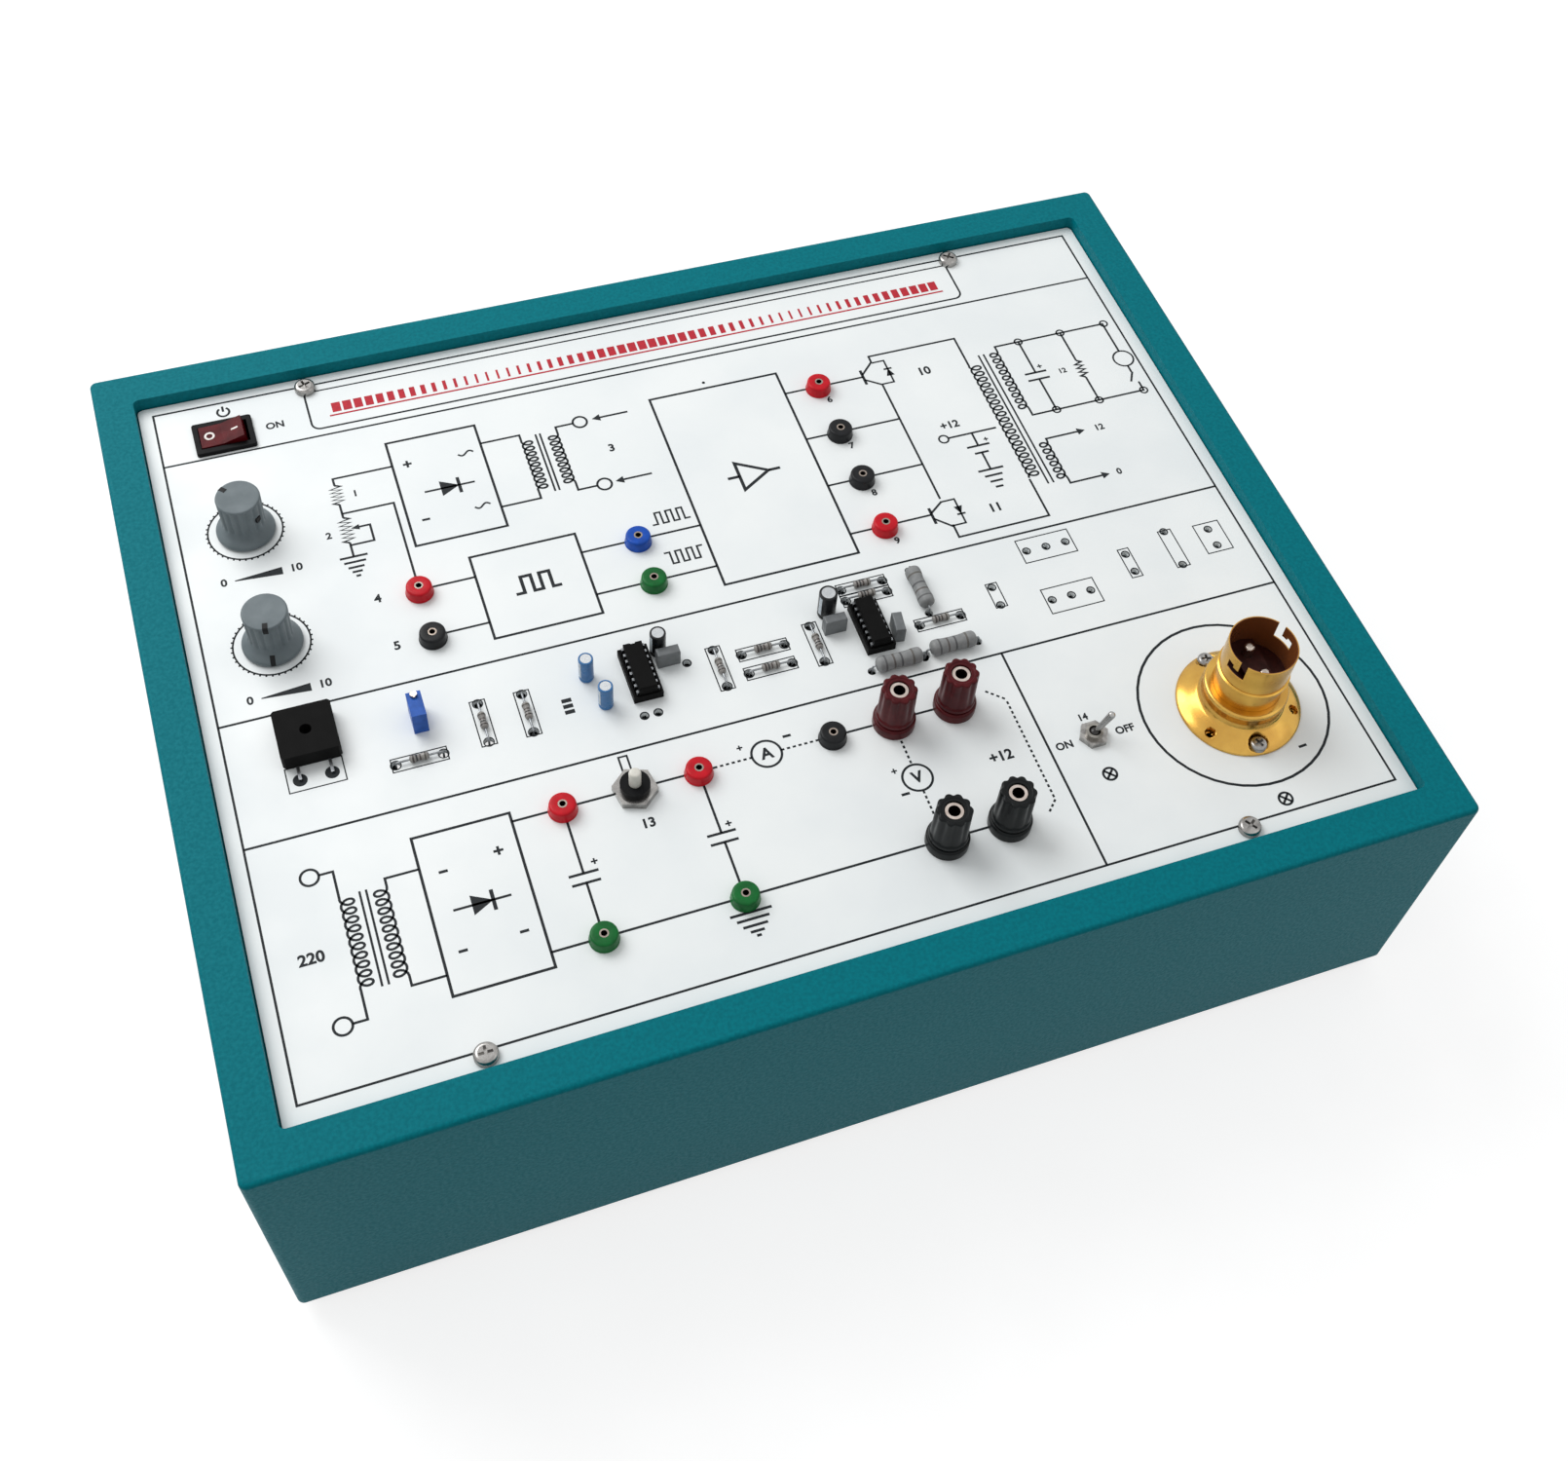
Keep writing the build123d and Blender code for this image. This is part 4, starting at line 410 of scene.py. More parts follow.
for x, y, turn in resistor_places:
    # outline of each resistor's place
    half, deep = (9.0, 2.5) if turn == 0 else (2.5, 9.0)
    lines.append(box_line(x - half, y - deep, x + half, y + deep, place_line))
    across, along = (7.7, 0.0) if turn == 0 else (0.0, 7.7)
    lines += [ring(x - across, y - along, 1.68, 0.36), ring(x + across, y + along, 1.68, 0.36)]
pads = [(81.9, -21.4), (81.9, -29.4), (100.3, -9.9), (107.95, -9.9), (115.6, -9.9), (100.3, -32.6),
        (107.8, -32.6), (115.3, -32.6), (134.2, -21.5), (134.2, -29.5), (152.3, -16.0), (152.3, -31.7),
        (168.6, -19.6), (168.6, -27.2), (-30.0, -21.2), (-49.6, -37.3), (-44.9, -37.3)]
lines += [ring(x, y, 1.4, 0.45) for x, y in pads]
for text, x, y, height in (
        ("ON", -140.5, 122, 3.0), ("1", -119.8, 82.5, 2.8), ("2", -132.3, 66, 2.8), ("3", -27.5, 78, 3.4),
        ("4", -122, 34.6, 3.4), ("5", -120, 13.6, 3.4), ("6", 57.5, 78.5, 2.8), ("7", 57.5, 54.6, 2.8),
        ("8", 57.5, 31.0, 2.8), ("9", 57.5, 7.8, 2.8), ("10", 97.5, 82.5, 3.8), ("11", 97.5, 12, 3.8),
        ("12", 151, 37.2, 2.8), ("0", 149, 15, 2.8), ("12", 149.5, 68, 2.4), ("+12", 96.5, 54, 3.4),
        ("220", -168.5, -91, 3.8), ("13", -60, -76.5, 3.4), ("+12", 57.5, -87, 3.8), ("14", 90, -81, 2.6),
        ("ON", 79.5, -89.5, 2.8), ("OFF", 101.8, -89.5, 2.8), ("A", -16, -63.1, 4.2), ("V", 28, -86.3, 4.2),
        ("+", -99.5, 90.5, 4.2), ("+", -107.2, -72.2, 4.2), ("+", 141.8, 72.5, 2.6), ("+", -80, -84.6, 2.8),
        ("+", -36, -84.3, 2.8), ("+", -23.8, -58.6, 2.6), ("+", 21.5, -82.0, 2.6), ("+", 107, 43.6, 2.4)):
    lines.append(lettering(text, x, y, height))
for x, y in ((-98.8, 64), (-106.5, -101.2), (-125, -74), (-125.5, -102), (-7.5, -58.5), (22, -91)):
    lines.append(stroke([(x - 1.4, y), (x + 1.4, y)], 0.95))
for x, y in ((-78.5, 90.2), (-78.5, 64.7)):
    # the sign of alternating current: one wave
    u = np.linspace(-2.8, 2.8, 17)
    lines.append(stroke(np.stack([x + u, y + 0.9 * np.sin(u * math.pi / 2.8)], 1), thin_line))

# Along the top a pulse-width pattern over a rule: bars on a 4 mm pitch whose width goes as a cosine.
bar_pitch, bar_height, wave_half = 4.0, 4.6, 60
bar_y, rule_y, rule_end = 124.9, 121.2, 121
middle = np.arange(-118, 118.1, bar_pitch)
red_lines = [stroke([(x - wide / 2, bar_y), (x + wide / 2, bar_y)], bar_height)
             for x, wide in zip(middle, 2.0 + 1.2 * np.cos(middle * math.pi / wave_half))]
red_lines.append(stroke([(-rule_end, rule_y), (rule_end, rule_y)], thin_line))

# Satin enamel on aluminium sheet: cool white, faintly uneven, with a soft gloss.
enamel = finish("white_satin_enamel", (panel_white, panel_shade), 38.0, (0.32, 0.42),
                relief=0.01, relief_grain=3.0, Specular_IOR_Level=0.5)
# Screen printed ink: near black, a little matt, the white showing through as grey.
black_ink = finish("screen_printed_black_ink", ("14181B", "20262A"), 1.2, (0.45, 0.6),
                   Specular_IOR_Level=0.2)
red_ink = finish("screen_printed_red_ink", ("C22834", "AE2C3A"), 1.2, (0.45, 0.6), Specular_IOR_Level=0.2)
dress(enamel, "front_panel")
build("panel_print", raised(lines, panel_top), black_ink, "panel_print", "cabinet", weld=False)
build("panel_heading", raised(red_lines, panel_top), red_ink, "panel_print", "cabinet", weld=False)

# Power switch
# A snap-in rocker switch: black nylon bezel, and a rocker of dark red polycarbonate with the off and
# on signs printed white on its two halves.

left_column, header_row = -158.5, 121.3
rocker_pivot = panel_top - 0.7
rocker_half, rocker_dip, rocker_end, rocker_tilt = 7.7, 2.9, 4.0, math.radians(10.0)

# Moulded nylon: black, fine matt texture.
black_nylon = finish("black_moulded_nylon", ("0B0C0D", "121315"), 4.0, (0.42, 0.55),
                     relief=0.02, relief_grain=0.5, Specular_IOR_Level=0.1)
# Moulded red polycarbonate: deep red, softly glossy.
red_polycarbonate = finish("red_polycarbonate", ("5C0610", "44040B"), 6.0, (0.25, 0.35),
                           relief=0.01, relief_grain=2.0, Specular_IOR_Level=0.1)
# Pad printed ink: soft white, a little matt.
white_ink = finish("pad_printed_white_ink", ("F1EDE8", "DDD6D0"), 1.0, (0.4, 0.5))
dress(black_nylon, "power_switch_housing")
dress(red_polycarbonate, "power_rocker")
signs, faces = joined([ring(-4.4, 0, 1.45, 0.75), stroke([(3.4, 0), (6.0, 0)], 0.75)])
signs[:, 2] += rocker_dip + (rocker_end - rocker_dip) * np.abs(signs[:, 0]) / rocker_half + 0.01
signs = np.stack([
    left_column + signs[:, 0] * math.cos(rocker_tilt) - signs[:, 2] * math.sin(rocker_tilt),
    header_row + signs[:, 1],
    rocker_pivot + signs[:, 0] * math.sin(rocker_tilt) + signs[:, 2] * math.cos(rocker_tilt)], 1)
build("rocker_signs", [(signs, np.array(faces))], white_ink, "rocker_red", "power_rocker", weld=False)

# Potentiometers and their knobs
# Two carbon potentiometers hang under the panel. Each shaft carries a skirted knob of grey ABS with
# sixteen flutes, a black pointer inlaid at its edge and skirt, and a set screw on the other side.

knob_bottom = panel_top + 0.6
knobs = {"voltage": (left_column, 76.5, 133.0), "frequency": (left_column, 26.3, 262.0)}


def rounded(corners, radius, steps=5):
    """A closed outline whose corners are eased: each is the blend (1-t)^2 start + 2t(1-t) corner
    + t^2 end between points radius before and after it, and stays sharp on the axis."""
    corner = np.array(corners, float)
    before, after = np.roll(corner, 1, 0) - corner, np.roll(corner, -1, 0) - corner
    near, far = np.linalg.norm(before, axis=1), np.linalg.norm(after, axis=1)
    cut = np.broadcast_to(radius, len(corner)) * (corner[:, 0] > 1e-6)
    start = corner + before * (np.minimum(cut, 0.48 * near) / near)[:, None]
    end = corner + after * (np.minimum(cut, 0.48 * far) / far)[:, None]
    t = np.linspace(0, 1, steps)[None, :, None]
    return ((1 - t) ** 2 * start[:, None] + 2 * t * (1 - t) * corner[:, None] + t ** 2 * end[:, None]
            ).reshape(-1, 2)


def fine(outline, step):
    """The same closed outline with points at most step apart along it."""
    closed = np.vstack([outline, outline[:1]])
    run = np.concatenate([[0], np.cumsum(np.linalg.norm(np.diff(closed, axis=0), axis=1))])
    at = np.unique(np.concatenate([run, np.arange(0, run[-1], step)]))[:-1]
    return np.stack([np.interp(at, run, closed[:, 0]), np.interp(at, run, closed[:, 1])], 1)


def turned(outline, x, y, z, steps=64, shape=None):
    """A closed outline of radius and height carried round an upright axis. shape(radius, angle,
    height) gives the final radius and height where the piece isn't round."""
    angle = np.arange(steps)[:, None] * 2 * math.pi / steps
    radius, height = np.broadcast_arrays(outline[None, :, 0], angle)[0], outline[None, :, 1] + 0 * angle
    if shape:
        radius, height = shape(radius, angle, height)
    points = np.stack([x + radius * np.cos(angle), y + radius * np.sin(angle), z + height], -1)
    return points.reshape(-1, 3), grid_faces(steps, len(outline), True)


def knob_flutes(pointer):
    """Sixteen hollows up the side, and a round pit for the set screw: the radius less a squared
    raised cosine of sixteen times the angle, and less the pit's depth within its edge."""
    flutes, flute_depth, skin = 16, 0.45, 6.75
    pit_depth, pit_edge, pit_height, mean_radius = 1.5, 1.4, 10.0, 7.8

    def shape(radius, angle, height):
        outside, spun = radius > skin, angle - math.radians(pointer)
        side = np.clip((height - 4.6) / 1.2, 0, 1) * np.clip((17.0 - height) / 0.7, 0, 1) * outside
        hollow = flute_depth * (0.5 + 0.5 * np.cos(flutes * spun + math.pi)) ** 2
        away = np.hypot((spun % (2 * math.pi) - math.pi) * mean_radius, height - pit_height)
        pit = pit_depth * np.clip((pit_edge - away) / 0.3, 0, 1) * outside
        return radius - side * hollow - pit, height
    return shape


knob_outline = rounded([(0, 4.3), (6.3, 4.3), (6.3, 0), (10.0, 0), (10.0, 1.4), (7.9, 3.5), (7.2, 5.0),
                        (7.5, 17.4), (0, 17.4)], [0, 0.2, 0.2, 0.4, 0.7, 0.8, 1.2, 0.7, 0])
# Moulded ABS: mid grey, satin from a spark-eroded mould.
grey_abs = finish("grey_moulded_abs", ("707A7E", "667074"), 7.0, (0.4, 0.52), relief=0.02, relief_grain=0.5,
                  Specular_IOR_Level=0.25)
# Black paint in the pointer's groove, and the black set screw.
pointer_black = finish("black_pointer_inlay", ("0A0B0C", "141618"), 1.0, (0.4, 0.55), Specular_IOR_Level=0.2)
# Zinc plate on pressed steel: dull and slightly blue.
zinc_plate = finish("zinc_plated_steel", ("A9AEB1", "8D9396"), 3.0, (0.32, 0.46), Metallic=1.0)
for name, (x, y, pointer) in knobs.items():
    body = f"{name}_control"
    build(f"{name}_knob_moulding", [turned(fine(knob_outline, 0.45), x, y, knob_bottom, 240,
          knob_flutes(pointer))], grey_abs, "knob_grey", body, f"{name}_knob", sharp=40)
    marks, faces = joined([
        stroke([(4.9, 17.42), (6.8, 17.43), (7.2, 17.33), (7.42, 17.1), (7.51, 16.7), (7.48, 15.0)], 0.16,
               low=-0.85, high=0.85),
        stroke([(7.9, 3.6), (9.3, 2.2), (10.02, 1.3), (10.02, 0.4)], 0.16, low=-0.8, high=0.8),
        stroke([(-7.1, 11.0), (-7.1, 9.0)], 0.4, low=-1.0, high=1.0)])
    turn = math.radians(pointer)
    marks = np.stack([x + marks[:, 0] * math.cos(turn) - marks[:, 2] * math.sin(turn),
                      y + marks[:, 0] * math.sin(turn) + marks[:, 2] * math.cos(turn),
                      knob_bottom + marks[:, 1]], 1)
    build(f"{name}_pointer", [(marks, np.array(faces)[:, ::-1])], pointer_black, "knob_grey", body, weld=False)
    dress(zinc_plate, f"{name}_pot_shaft")
dress(zinc_plate, "potentiometers")
dress(nickel_plate, "bushing_nuts")

# Lamp switch
# A miniature toggle: moulded body under the panel, threaded nickel bushing through it, and a plated
# bat lever on its ball. Body and bushing are one CAD solid, so its finish changes at the panel.


def two_tone(material, share, code):
    """Where share is 1 the surface is its own metal; where it is 0 it is dull and has that colour."""
    shader = material.node_tree.nodes["Principled BSDF"]
    colour = add(material, "ShaderNodeMix", {
        0: share, 6: linear(code), 7: shader.inputs["Base Color"].links[0].from_socket},
        data_type="RGBA").outputs[2]
    material.node_tree.links.new(colour, shader.inputs["Base Color"])
    material.node_tree.links.new(share, shader.inputs["Metallic"])
    return material


def beyond(material, measure, limit):
    """1 where a measure is more than limit, else 0."""
    return add(material, "ShaderNodeMath", {0: measure, 1: limit}, operation="GREATER_THAN").outputs["Value"]


def below(material, level, code):
    """Lower than level mm the surface is dull and has that colour; above it, its own finish."""
    height = add(material, "ShaderNodeSeparateXYZ", {
        "Vector": add(material, "ShaderNodeTexCoord").outputs["Object"]}).outputs["Z"]
    return two_tone(material, beyond(material, height, level * mm), code)


# Nickel above the panel's underside, moulded phenolic below: one material told apart by height.
toggle_finish = below(finish("nickel_bushing_on_phenolic", ("A5A29C", "84817B"), 2.0, (0.2, 0.32)),
                      panel_top - 2.0, "2A1D18")
# The lever is nickel plated; below 4 mm over the panel, its ball down in the bushing and the neck just above
# it, it has a dull dark colour that is painted shade.
lever_finish = below(finish("nickel_lever_painted_shade_ball", ("A9A8A6", "8D8C8B"), 2.0, (0.2, 0.34)),
                     panel_top + 4.0, "15110F")
dress(toggle_finish, "lamp_switch_body")
dress(lever_finish, "lamp_switch_lever")

# Circuit breaker
# A push-to-reset breaker: black nylon body and threaded neck, a hexagonal plated nut, and an ivory
# button that stands out when it has tripped.

breaker_x, feed_row, output_row = -60.7, -63.9, -111.2
# Moulded urea: warm white and glossy.
ivory_urea = finish("ivory_moulded_urea", ("DEDCD3", "CFCDC3"), 4.0, (0.24, 0.36),
                    relief=0.01, relief_grain=1.5)
dress(black_nylon, "breaker_body")
button = rounded([(0, -2.0), (2.0, -2.0), (2.0, 11.5), (0, 11.5)], [0, 0.2, 0.9, 0])
build("breaker_button_moulding", [turned(button, breaker_x, feed_row, panel_top, 40)], ivory_urea,
      "button_ivory", "breaker_button", "breaker_button")

# Test sockets
# Thirteen 2 mm sockets: a nylon head with a flange, in red, black, green or blue, round a plated
# brass tube that is open at the top.

sockets = {
    "red": [(-108.0, 33.2), (55.1, 84.8), (55.1, 14.2), (-84.4, feed_row), (-39.4, feed_row)],
    "black": [(-108.0, 13.0), (55.1, 61.0), (55.1, 37.6), (6.6, feed_row)],
    "green": [(-30.8, 14.1), (-84.4, output_row), (-39.4, output_row)],
    "blue": [(-30.8, 33.2)]}
nylons = {"red": ("C80C20", "B4091B"), "black": ("0E1012", "16181B"), "green": ("066A2C", "045824"),
          "blue": ("1250B8", "0E449E")}
head = rounded([(1.5, 0), (4.8, 0), (4.8, 0.7), (4.62, 0.95), (4.35, 4.2), (1.5, 4.2)],
               [0, 0.2, 0.3, 0.2, 0.8, 0.15])
stem = rounded([(1.5, -7.5), (2.9, -7.5), (2.9, 0), (1.5, 0)], 0.2)
for colour, places in sockets.items():
    # Moulded nylon: saturated, with a soft gloss.
    nylon = finish(f"{colour}_moulded_nylon", nylons[colour], 3.0, (0.3, 0.42), relief=0.01,
                   relief_grain=0.8, Specular_IOR_Level=0.2)
    build(f"{colour}_socket_heads", [turned(outline, x, y, panel_top, 48) for x, y in places
          for outline in (head, stem)], nylon, f"socket_{colour}", "cabinet", f"{colour}_sockets")
# Nickel plated brass: silvery with a warm tone.
plated_brass = finish("nickel_plated_brass", ("CBBFB4", "AFA399"), 2.0, (0.2, 0.32), Metallic=1.0)
# The same plate at the tubes' mouths; down the bores a dull dark colour is painted shade.
bore_painted_shade, tube_mouth = "120C0A", panel_top + 3.95
dress(below(finish("nickel_plated_tube", ("A89C92", "8C8178"), 2.0, (0.2, 0.32)), tube_mouth, bore_painted_shade),
      "socket_contacts")

# Binding posts
# Four 4 mm posts: a round nylon base, a threaded brass stud bored for a plug, and a screw cap with
# ten lobes, moulded in maroon or black round its own threaded bush.

posts = {"red_left": (28.2, feed_row), "red_right": (50.0, feed_row),
         "black_left": (28.2, output_row), "black_right": (50.0, output_row)}
cap_bottom = panel_top + 4.6
cap_outline = rounded([(4.58, 0), (6.5, 0), (6.5, 1.7), (6.15, 2.2), (6.0, 15.3), (4.4, 15.3), (4.2, 15.0),
                       (3.3, 15.0), (3.3, 5.3), (4.58, 5.3)], [0, 0.4, 0.5, 0.4, 0.7, 0.2, 0.1, 0.1, 0.1, 0.1])
base_outline = rounded([(3.0, 0), (7.2, 0), (7.2, 4.2), (3.0, 4.2)], [0, 0.3, 0.9, 0.1])


def cap_lobes(radius, angle, height):
    """Ten lobes that deepen towards the top: the radius less a raised cosine of ten times the angle."""
    lobes, shallow, deeper, skin = 10, 0.2, 0.5, 4.7
    depth = shallow + deeper * np.clip((height - 2.0) / 12.0, 0, 1)
    outside = (radius > skin) * np.clip((height - 1.6) / 0.8, 0, 1)
    return radius - depth * outside * (0.5 + 0.5 * np.cos(lobes * angle)) ** 1.5, height


post_colours = {"red": ("520E14", "420A10"), "black": ("0D1011", "141718")}
for colour in ("red", "black"):
    # Moulded nylon: deep colour, glossy on the lobes.
    nylon = finish(f"{colour}_post_nylon", post_colours[colour], 4.0, (0.28, 0.4),
                   relief=0.012, relief_grain=0.8, Specular_IOR_Level=0.15)
    slot = {"red": "post_maroon", "black": "post_black"}[colour]
    for name in (f"{colour}_left", f"{colour}_right"):
        x, y = posts[name]
        build(f"{name}_cap_moulding", [turned(fine(cap_outline, 0.8), x, y, cap_bottom, 160, cap_lobes)],
              nylon, slot, f"{name}_post_cap", f"{name}_post_cap", sharp=40)
        dress(plated_brass, f"{name}_post_insert")
    build(f"{colour}_post_base_mouldings", [turned(base_outline, *posts[f"{colour}_{side}"], panel_top, 64)
          for side in ("left", "right")], nylon, slot, "cabinet", f"{colour}_post_bases")
# Nickel plate at the studs' mouths; down the bores a dull dark colour is painted shade.
stud_mouth = panel_top + 18.8
dress(below(finish("nickel_plated_stud", ("D2C6BE", "B8ABA2"), 2.0, (0.2, 0.32)), stud_mouth, bore_painted_shade),
      "post_studs")

# Components in the strip
# A bridge rectifier, a trimmer, two chips in sockets, film and electrolytic capacitors and
# resistors, their tinned leads pushed through the panel and soldered on the board below.

# Transfer-moulded epoxy: black, even, slightly rough.
black_epoxy = finish("black_moulded_epoxy", ("0A0A0A", "101010"), 3.0, (0.48, 0.62),
                     relief=0.03, relief_grain=0.4, Specular_IOR_Level=0.06)
# Glass-filled nylon of the trimmer: bright blue and satin.
trimmer_blue = finish("blue_glass_filled_nylon", ("1559B8", "104A9C"), 3.0, (0.32, 0.45), relief=0.01,
                      relief_grain=0.6, Specular_IOR_Level=0.3)
# Resin cast round film capacitors: plain grey, satin.
box_grey = finish("grey_cast_resin", ("6C7072", "5E6264"), 3.0, (0.35, 0.5), relief=0.02, relief_grain=0.7)
# Tin plate on copper and brass: bright grey, a little dull.
tin_plate = finish("tin_plated_copper", ("94979A", "7A7D80"), 1.5, (0.3, 0.45), Metallic=1.0)
dress(black_epoxy, "bridge_rectifier", "chip_bodies")
dress(trimmer_blue, "trimmer_body")
dress(plated_brass, "trimmer_screw")
dress(box_grey, "box_capacitors")
dress(tin_plate, "component_leads", "chip_legs", "terminal_tabs")


def banded(name, colours, bands, roughness):
    """A lacquer whose colour changes along the body: the piece's attribute along, from end to end,
    goes through a ramp of hard steps."""
    made = finish(name, colours, 2.0, roughness, relief=0.01, relief_grain=0.6)
    along = add(made, "ShaderNodeAttribute", attribute_name="along").outputs["Fac"]
    shader = made.node_tree.nodes["Principled BSDF"]
    colour = shader.inputs["Base Color"].links[0].from_socket
    for start, end, band in bands:
        after = beyond(made, along, start)
        before = add(made, "ShaderNodeMath", {0: along, 1: end}, operation="LESS_THAN").outputs["Value"]
        inside = add(made, "ShaderNodeMath", {0: after, 1: before}, operation="MULTIPLY").outputs["Value"]
        colour = add(made, "ShaderNodeMix", {0: inside, 6: colour, 7: linear(band)},
                     data_type="RGBA").outputs[2]
    made.node_tree.links.new(colour, shader.inputs["Base Color"])
    return made


def lying(outline, x, y, z, turn, length):
    """A turned body laid level: its height becomes the way along, at turn degrees on the plan."""
    points, faces = turned(outline, 0, 0, 0, 28)
    angle = math.radians(turn)
    along, aside, up = points[:, 2] - length / 2, points[:, 1], -points[:, 0]
    return np.stack([x + along * math.cos(angle) - aside * math.sin(angle),
                     y + along * math.sin(angle) + aside * math.cos(angle), z + up], 1), faces


def resistor_row(name, places, length, radius, waist, material, slot, node):
    """Bodies with a bulge at each end: the radius less a waist, which a bell curve of the way from
    the end fills, times a quarter ellipse at the ends. The attribute along is how far each point is
    from one end of its body, over the length."""
    u = np.linspace(0, 1, 41)
    bulge = np.exp(-((np.minimum(u, 1 - u) * length - radius) / (0.75 * radius)) ** 2)
    end = np.sqrt(np.clip(1 - (1 - np.minimum(u, 1 - u) * length / (0.5 * radius)).clip(0, 1) ** 2, 0, 1))
    outline = np.stack([(radius - waist * (1 - 1.6 * bulge)) * end, u * length], 1)
    made = build(name, [lying(outline, x, y, panel_top + 0.15 + radius, turn, length)
                        for x, y, turn in places], material, slot, "cabinet", node)
    middles = np.array([[x, y + plan_shift] for x, y, turn in places]) * mm
    ways = np.array([[math.cos(math.radians(turn)), math.sin(math.radians(turn))]
                     for x, y, turn in places])
    points = np.empty(3 * len(made.data.vertices))
    made.data.vertices.foreach_get("co", points)
    away = points.reshape(-1, 1, 3)[:, :, :2] - middles[None]
    nearest = np.argmin((away ** 2).sum(-1), 1)
    along = (away[np.arange(len(nearest)), nearest] * ways[nearest]).sum(1) / (length * mm) + 0.5
    made.data.attributes.new("along", "FLOAT", "POINT").data.foreach_set("value", along.astype(np.float32))
    return made


# Dipped lacquer on a quarter-watt resistor: pale, glossy, with painted bands.
lacquer = banded("pale_resistor_lacquer", ("8F8C88", "7F7C79"), [
    (0.14, 0.23, "2E2624"), (0.32, 0.41, "1D1E20"), (0.50, 0.58, "3A2F2B"), (0.74, 0.82, "45413A")],
    (0.28, 0.4))
# Flameproof coating of the larger resistors: matt grey with a few dark bands.
grey_coating = banded("grey_flameproof_coating", ("868888", "797B7C"), [
    (0.16, 0.20, "565758"), (0.34, 0.38, "55504D"), (0.50, 0.54, "4C4D4F"), (0.74, 0.78, "5C5A55")],
    (0.5, 0.65))
resistor_row("resistor_bodies", resistor_places, 6.5, 1.25, 0.2, lacquer, "resistor_lacquer", "resistors")
resistor_row("power_resistor_bodies", [(38.3, -42.6, 0), (58.5, -41.6, 0), (56.4, -15.7, 90)], 17.0, 2.75,
             0.2, grey_coating, "power_resistor_grey", "power_resistors")

# Electrolytic cans
# Deep-drawn aluminium cans in a shrunk vinyl sleeve, blue or black, with a pale stripe down the
# negative side. The top stays bare, a little lower than the sleeve's rolled edge.

cans = {"blue": [(-63.6, -17.0, 0, 2.5, 11.0), (-60.4, -29.3, 0, 2.5, 11.0)],
        "black": [(-38.0, -13.8, 0, 2.75, 11.0), (22.0, -15.2, 0, 3.2, 12.0)]
        + [(28.0 + x, -40.0, -89.2, 9.0, 30.0) for x in (-60.0, -36.0, 50.0)]}
sleeves = {"blue": ("3F77AE", "356A9E"), "black": ("101214", "191B1E")}
lid_drop = 0.15
# Drawn aluminium, left bare at the tops.
bare_aluminium = finish("drawn_aluminium", ("C9CCCE", "B4B8BB"), 2.0, (0.22, 0.34), Metallic=1.0)
# The stripe's ink, pale and a little matt.
stripe_ink = finish("pale_sleeve_stripe", ("C9D2D8", "B4BEC6"), 1.5, (0.35, 0.45))
for colour, places in cans.items():
    # Shrunk vinyl: glossy, with faint drawing lines.
    sleeve = finish(f"{colour}_shrunk_vinyl", sleeves[colour], 3.0, (0.24, 0.36), relief=0.01,
                    relief_grain=1.0, Specular_IOR_Level=0.3)
    parts = []
    for x, y, drop, radius, height in places:
        outline = rounded([(0, 0), (radius - 0.1, 0), (radius, 0.9), (radius - 0.25, 1.45), (radius, 2.0),
                           (radius, height), (0.78 * radius, height),
                           (0.76 * radius, height - lid_drop), (0, height - lid_drop)],
                          [0, 0.3, 0.3, 0.4, 0.4, 0.5, 0.1, 0.05, 0])
        parts.append(turned(outline, x, y, panel_top + drop, 48))
    build(f"{colour}_can_sleeves", parts, sleeve, f"can_{colour}", "cabinet", f"{colour}_capacitors")
    tops, stripes = [], []
    for x, y, drop, radius, height in places:
        lid = stroke(arc(x, y, 0.37 * radius, 0, 345, 24), 0.74 * radius, closed=True)
        tops += raised([lid], panel_top + drop + height - lid_drop)
        side = arc(x, y, radius + 0.02, 188, 212, 7)
        stripes += raised([stroke(side, 0.08, low=2.4, high=height - 0.9)], panel_top + drop)
    build(f"{colour}_can_tops", tops, bare_aluminium, f"can_{colour}", "cabinet", weld=False)
    build(f"{colour}_can_stripes", stripes, stripe_ink, f"can_{colour}", "cabinet", weld=False)

# Bayonet lampholder
# Spun and drawn brass, polished and lacquered: a domed base screwed to the panel, a shade ring on
# its neck, and a barrel with two bayonet slots, a moulded insulator and two sprung contacts inside.

lamp_x, lamp_y = 143.7, -91.4
dome_height, barrel_middle, flange_edge = 9.4, 11.35, 0.85
screw_angles, spare_angles, screw_circle = (-97.0, 102.0), (-31.0, 210.0), 18.4


def flange_pits(radius, angle, height):
    """Flat spots under the two screw heads and two spare holes: the height falls to the spot's level
    as a straight ramp of the distance from its middle."""
    for spots, level, reach, ramp in ((screw_angles, 1.5, 3.1, 0.5), (spare_angles, 0.5, 1.35, 0.3)):
        for spot in np.radians(spots):
            away = np.hypot(radius * np.cos(angle) - screw_circle * math.cos(spot),
                            radius * np.sin(angle) - screw_circle * math.sin(spot))
            share = np.clip((reach + ramp - away) / ramp, 0, 1) * (height > flange_edge)
            height = np.where(height > level, height + (level - height) * share, height)
    return radius, height


dome_outline = rounded([(20.4, 0), (21.5, 0), (21.5, 0.9), (19.4, 2.3), (16.6, 3.4), (14.9, 4.1), (14.0, 5.3),
                        (13.6, 6.8), (13.6, dome_height), (11.65, dome_height), (11.65, 3.0), (16.6, 2.3)],
                       [0.1, 0.3, 0.5, 1.5, 0.7, 0.8, 0.6, 0.3, 0.2, 0.1, 0.1, 0.1])
ring_outline = rounded([(11.65, 0), (14.5, 0), (14.5, 2.8), (11.65, 2.8)], [0.1, 1.2, 1.2, 0.1], 7)
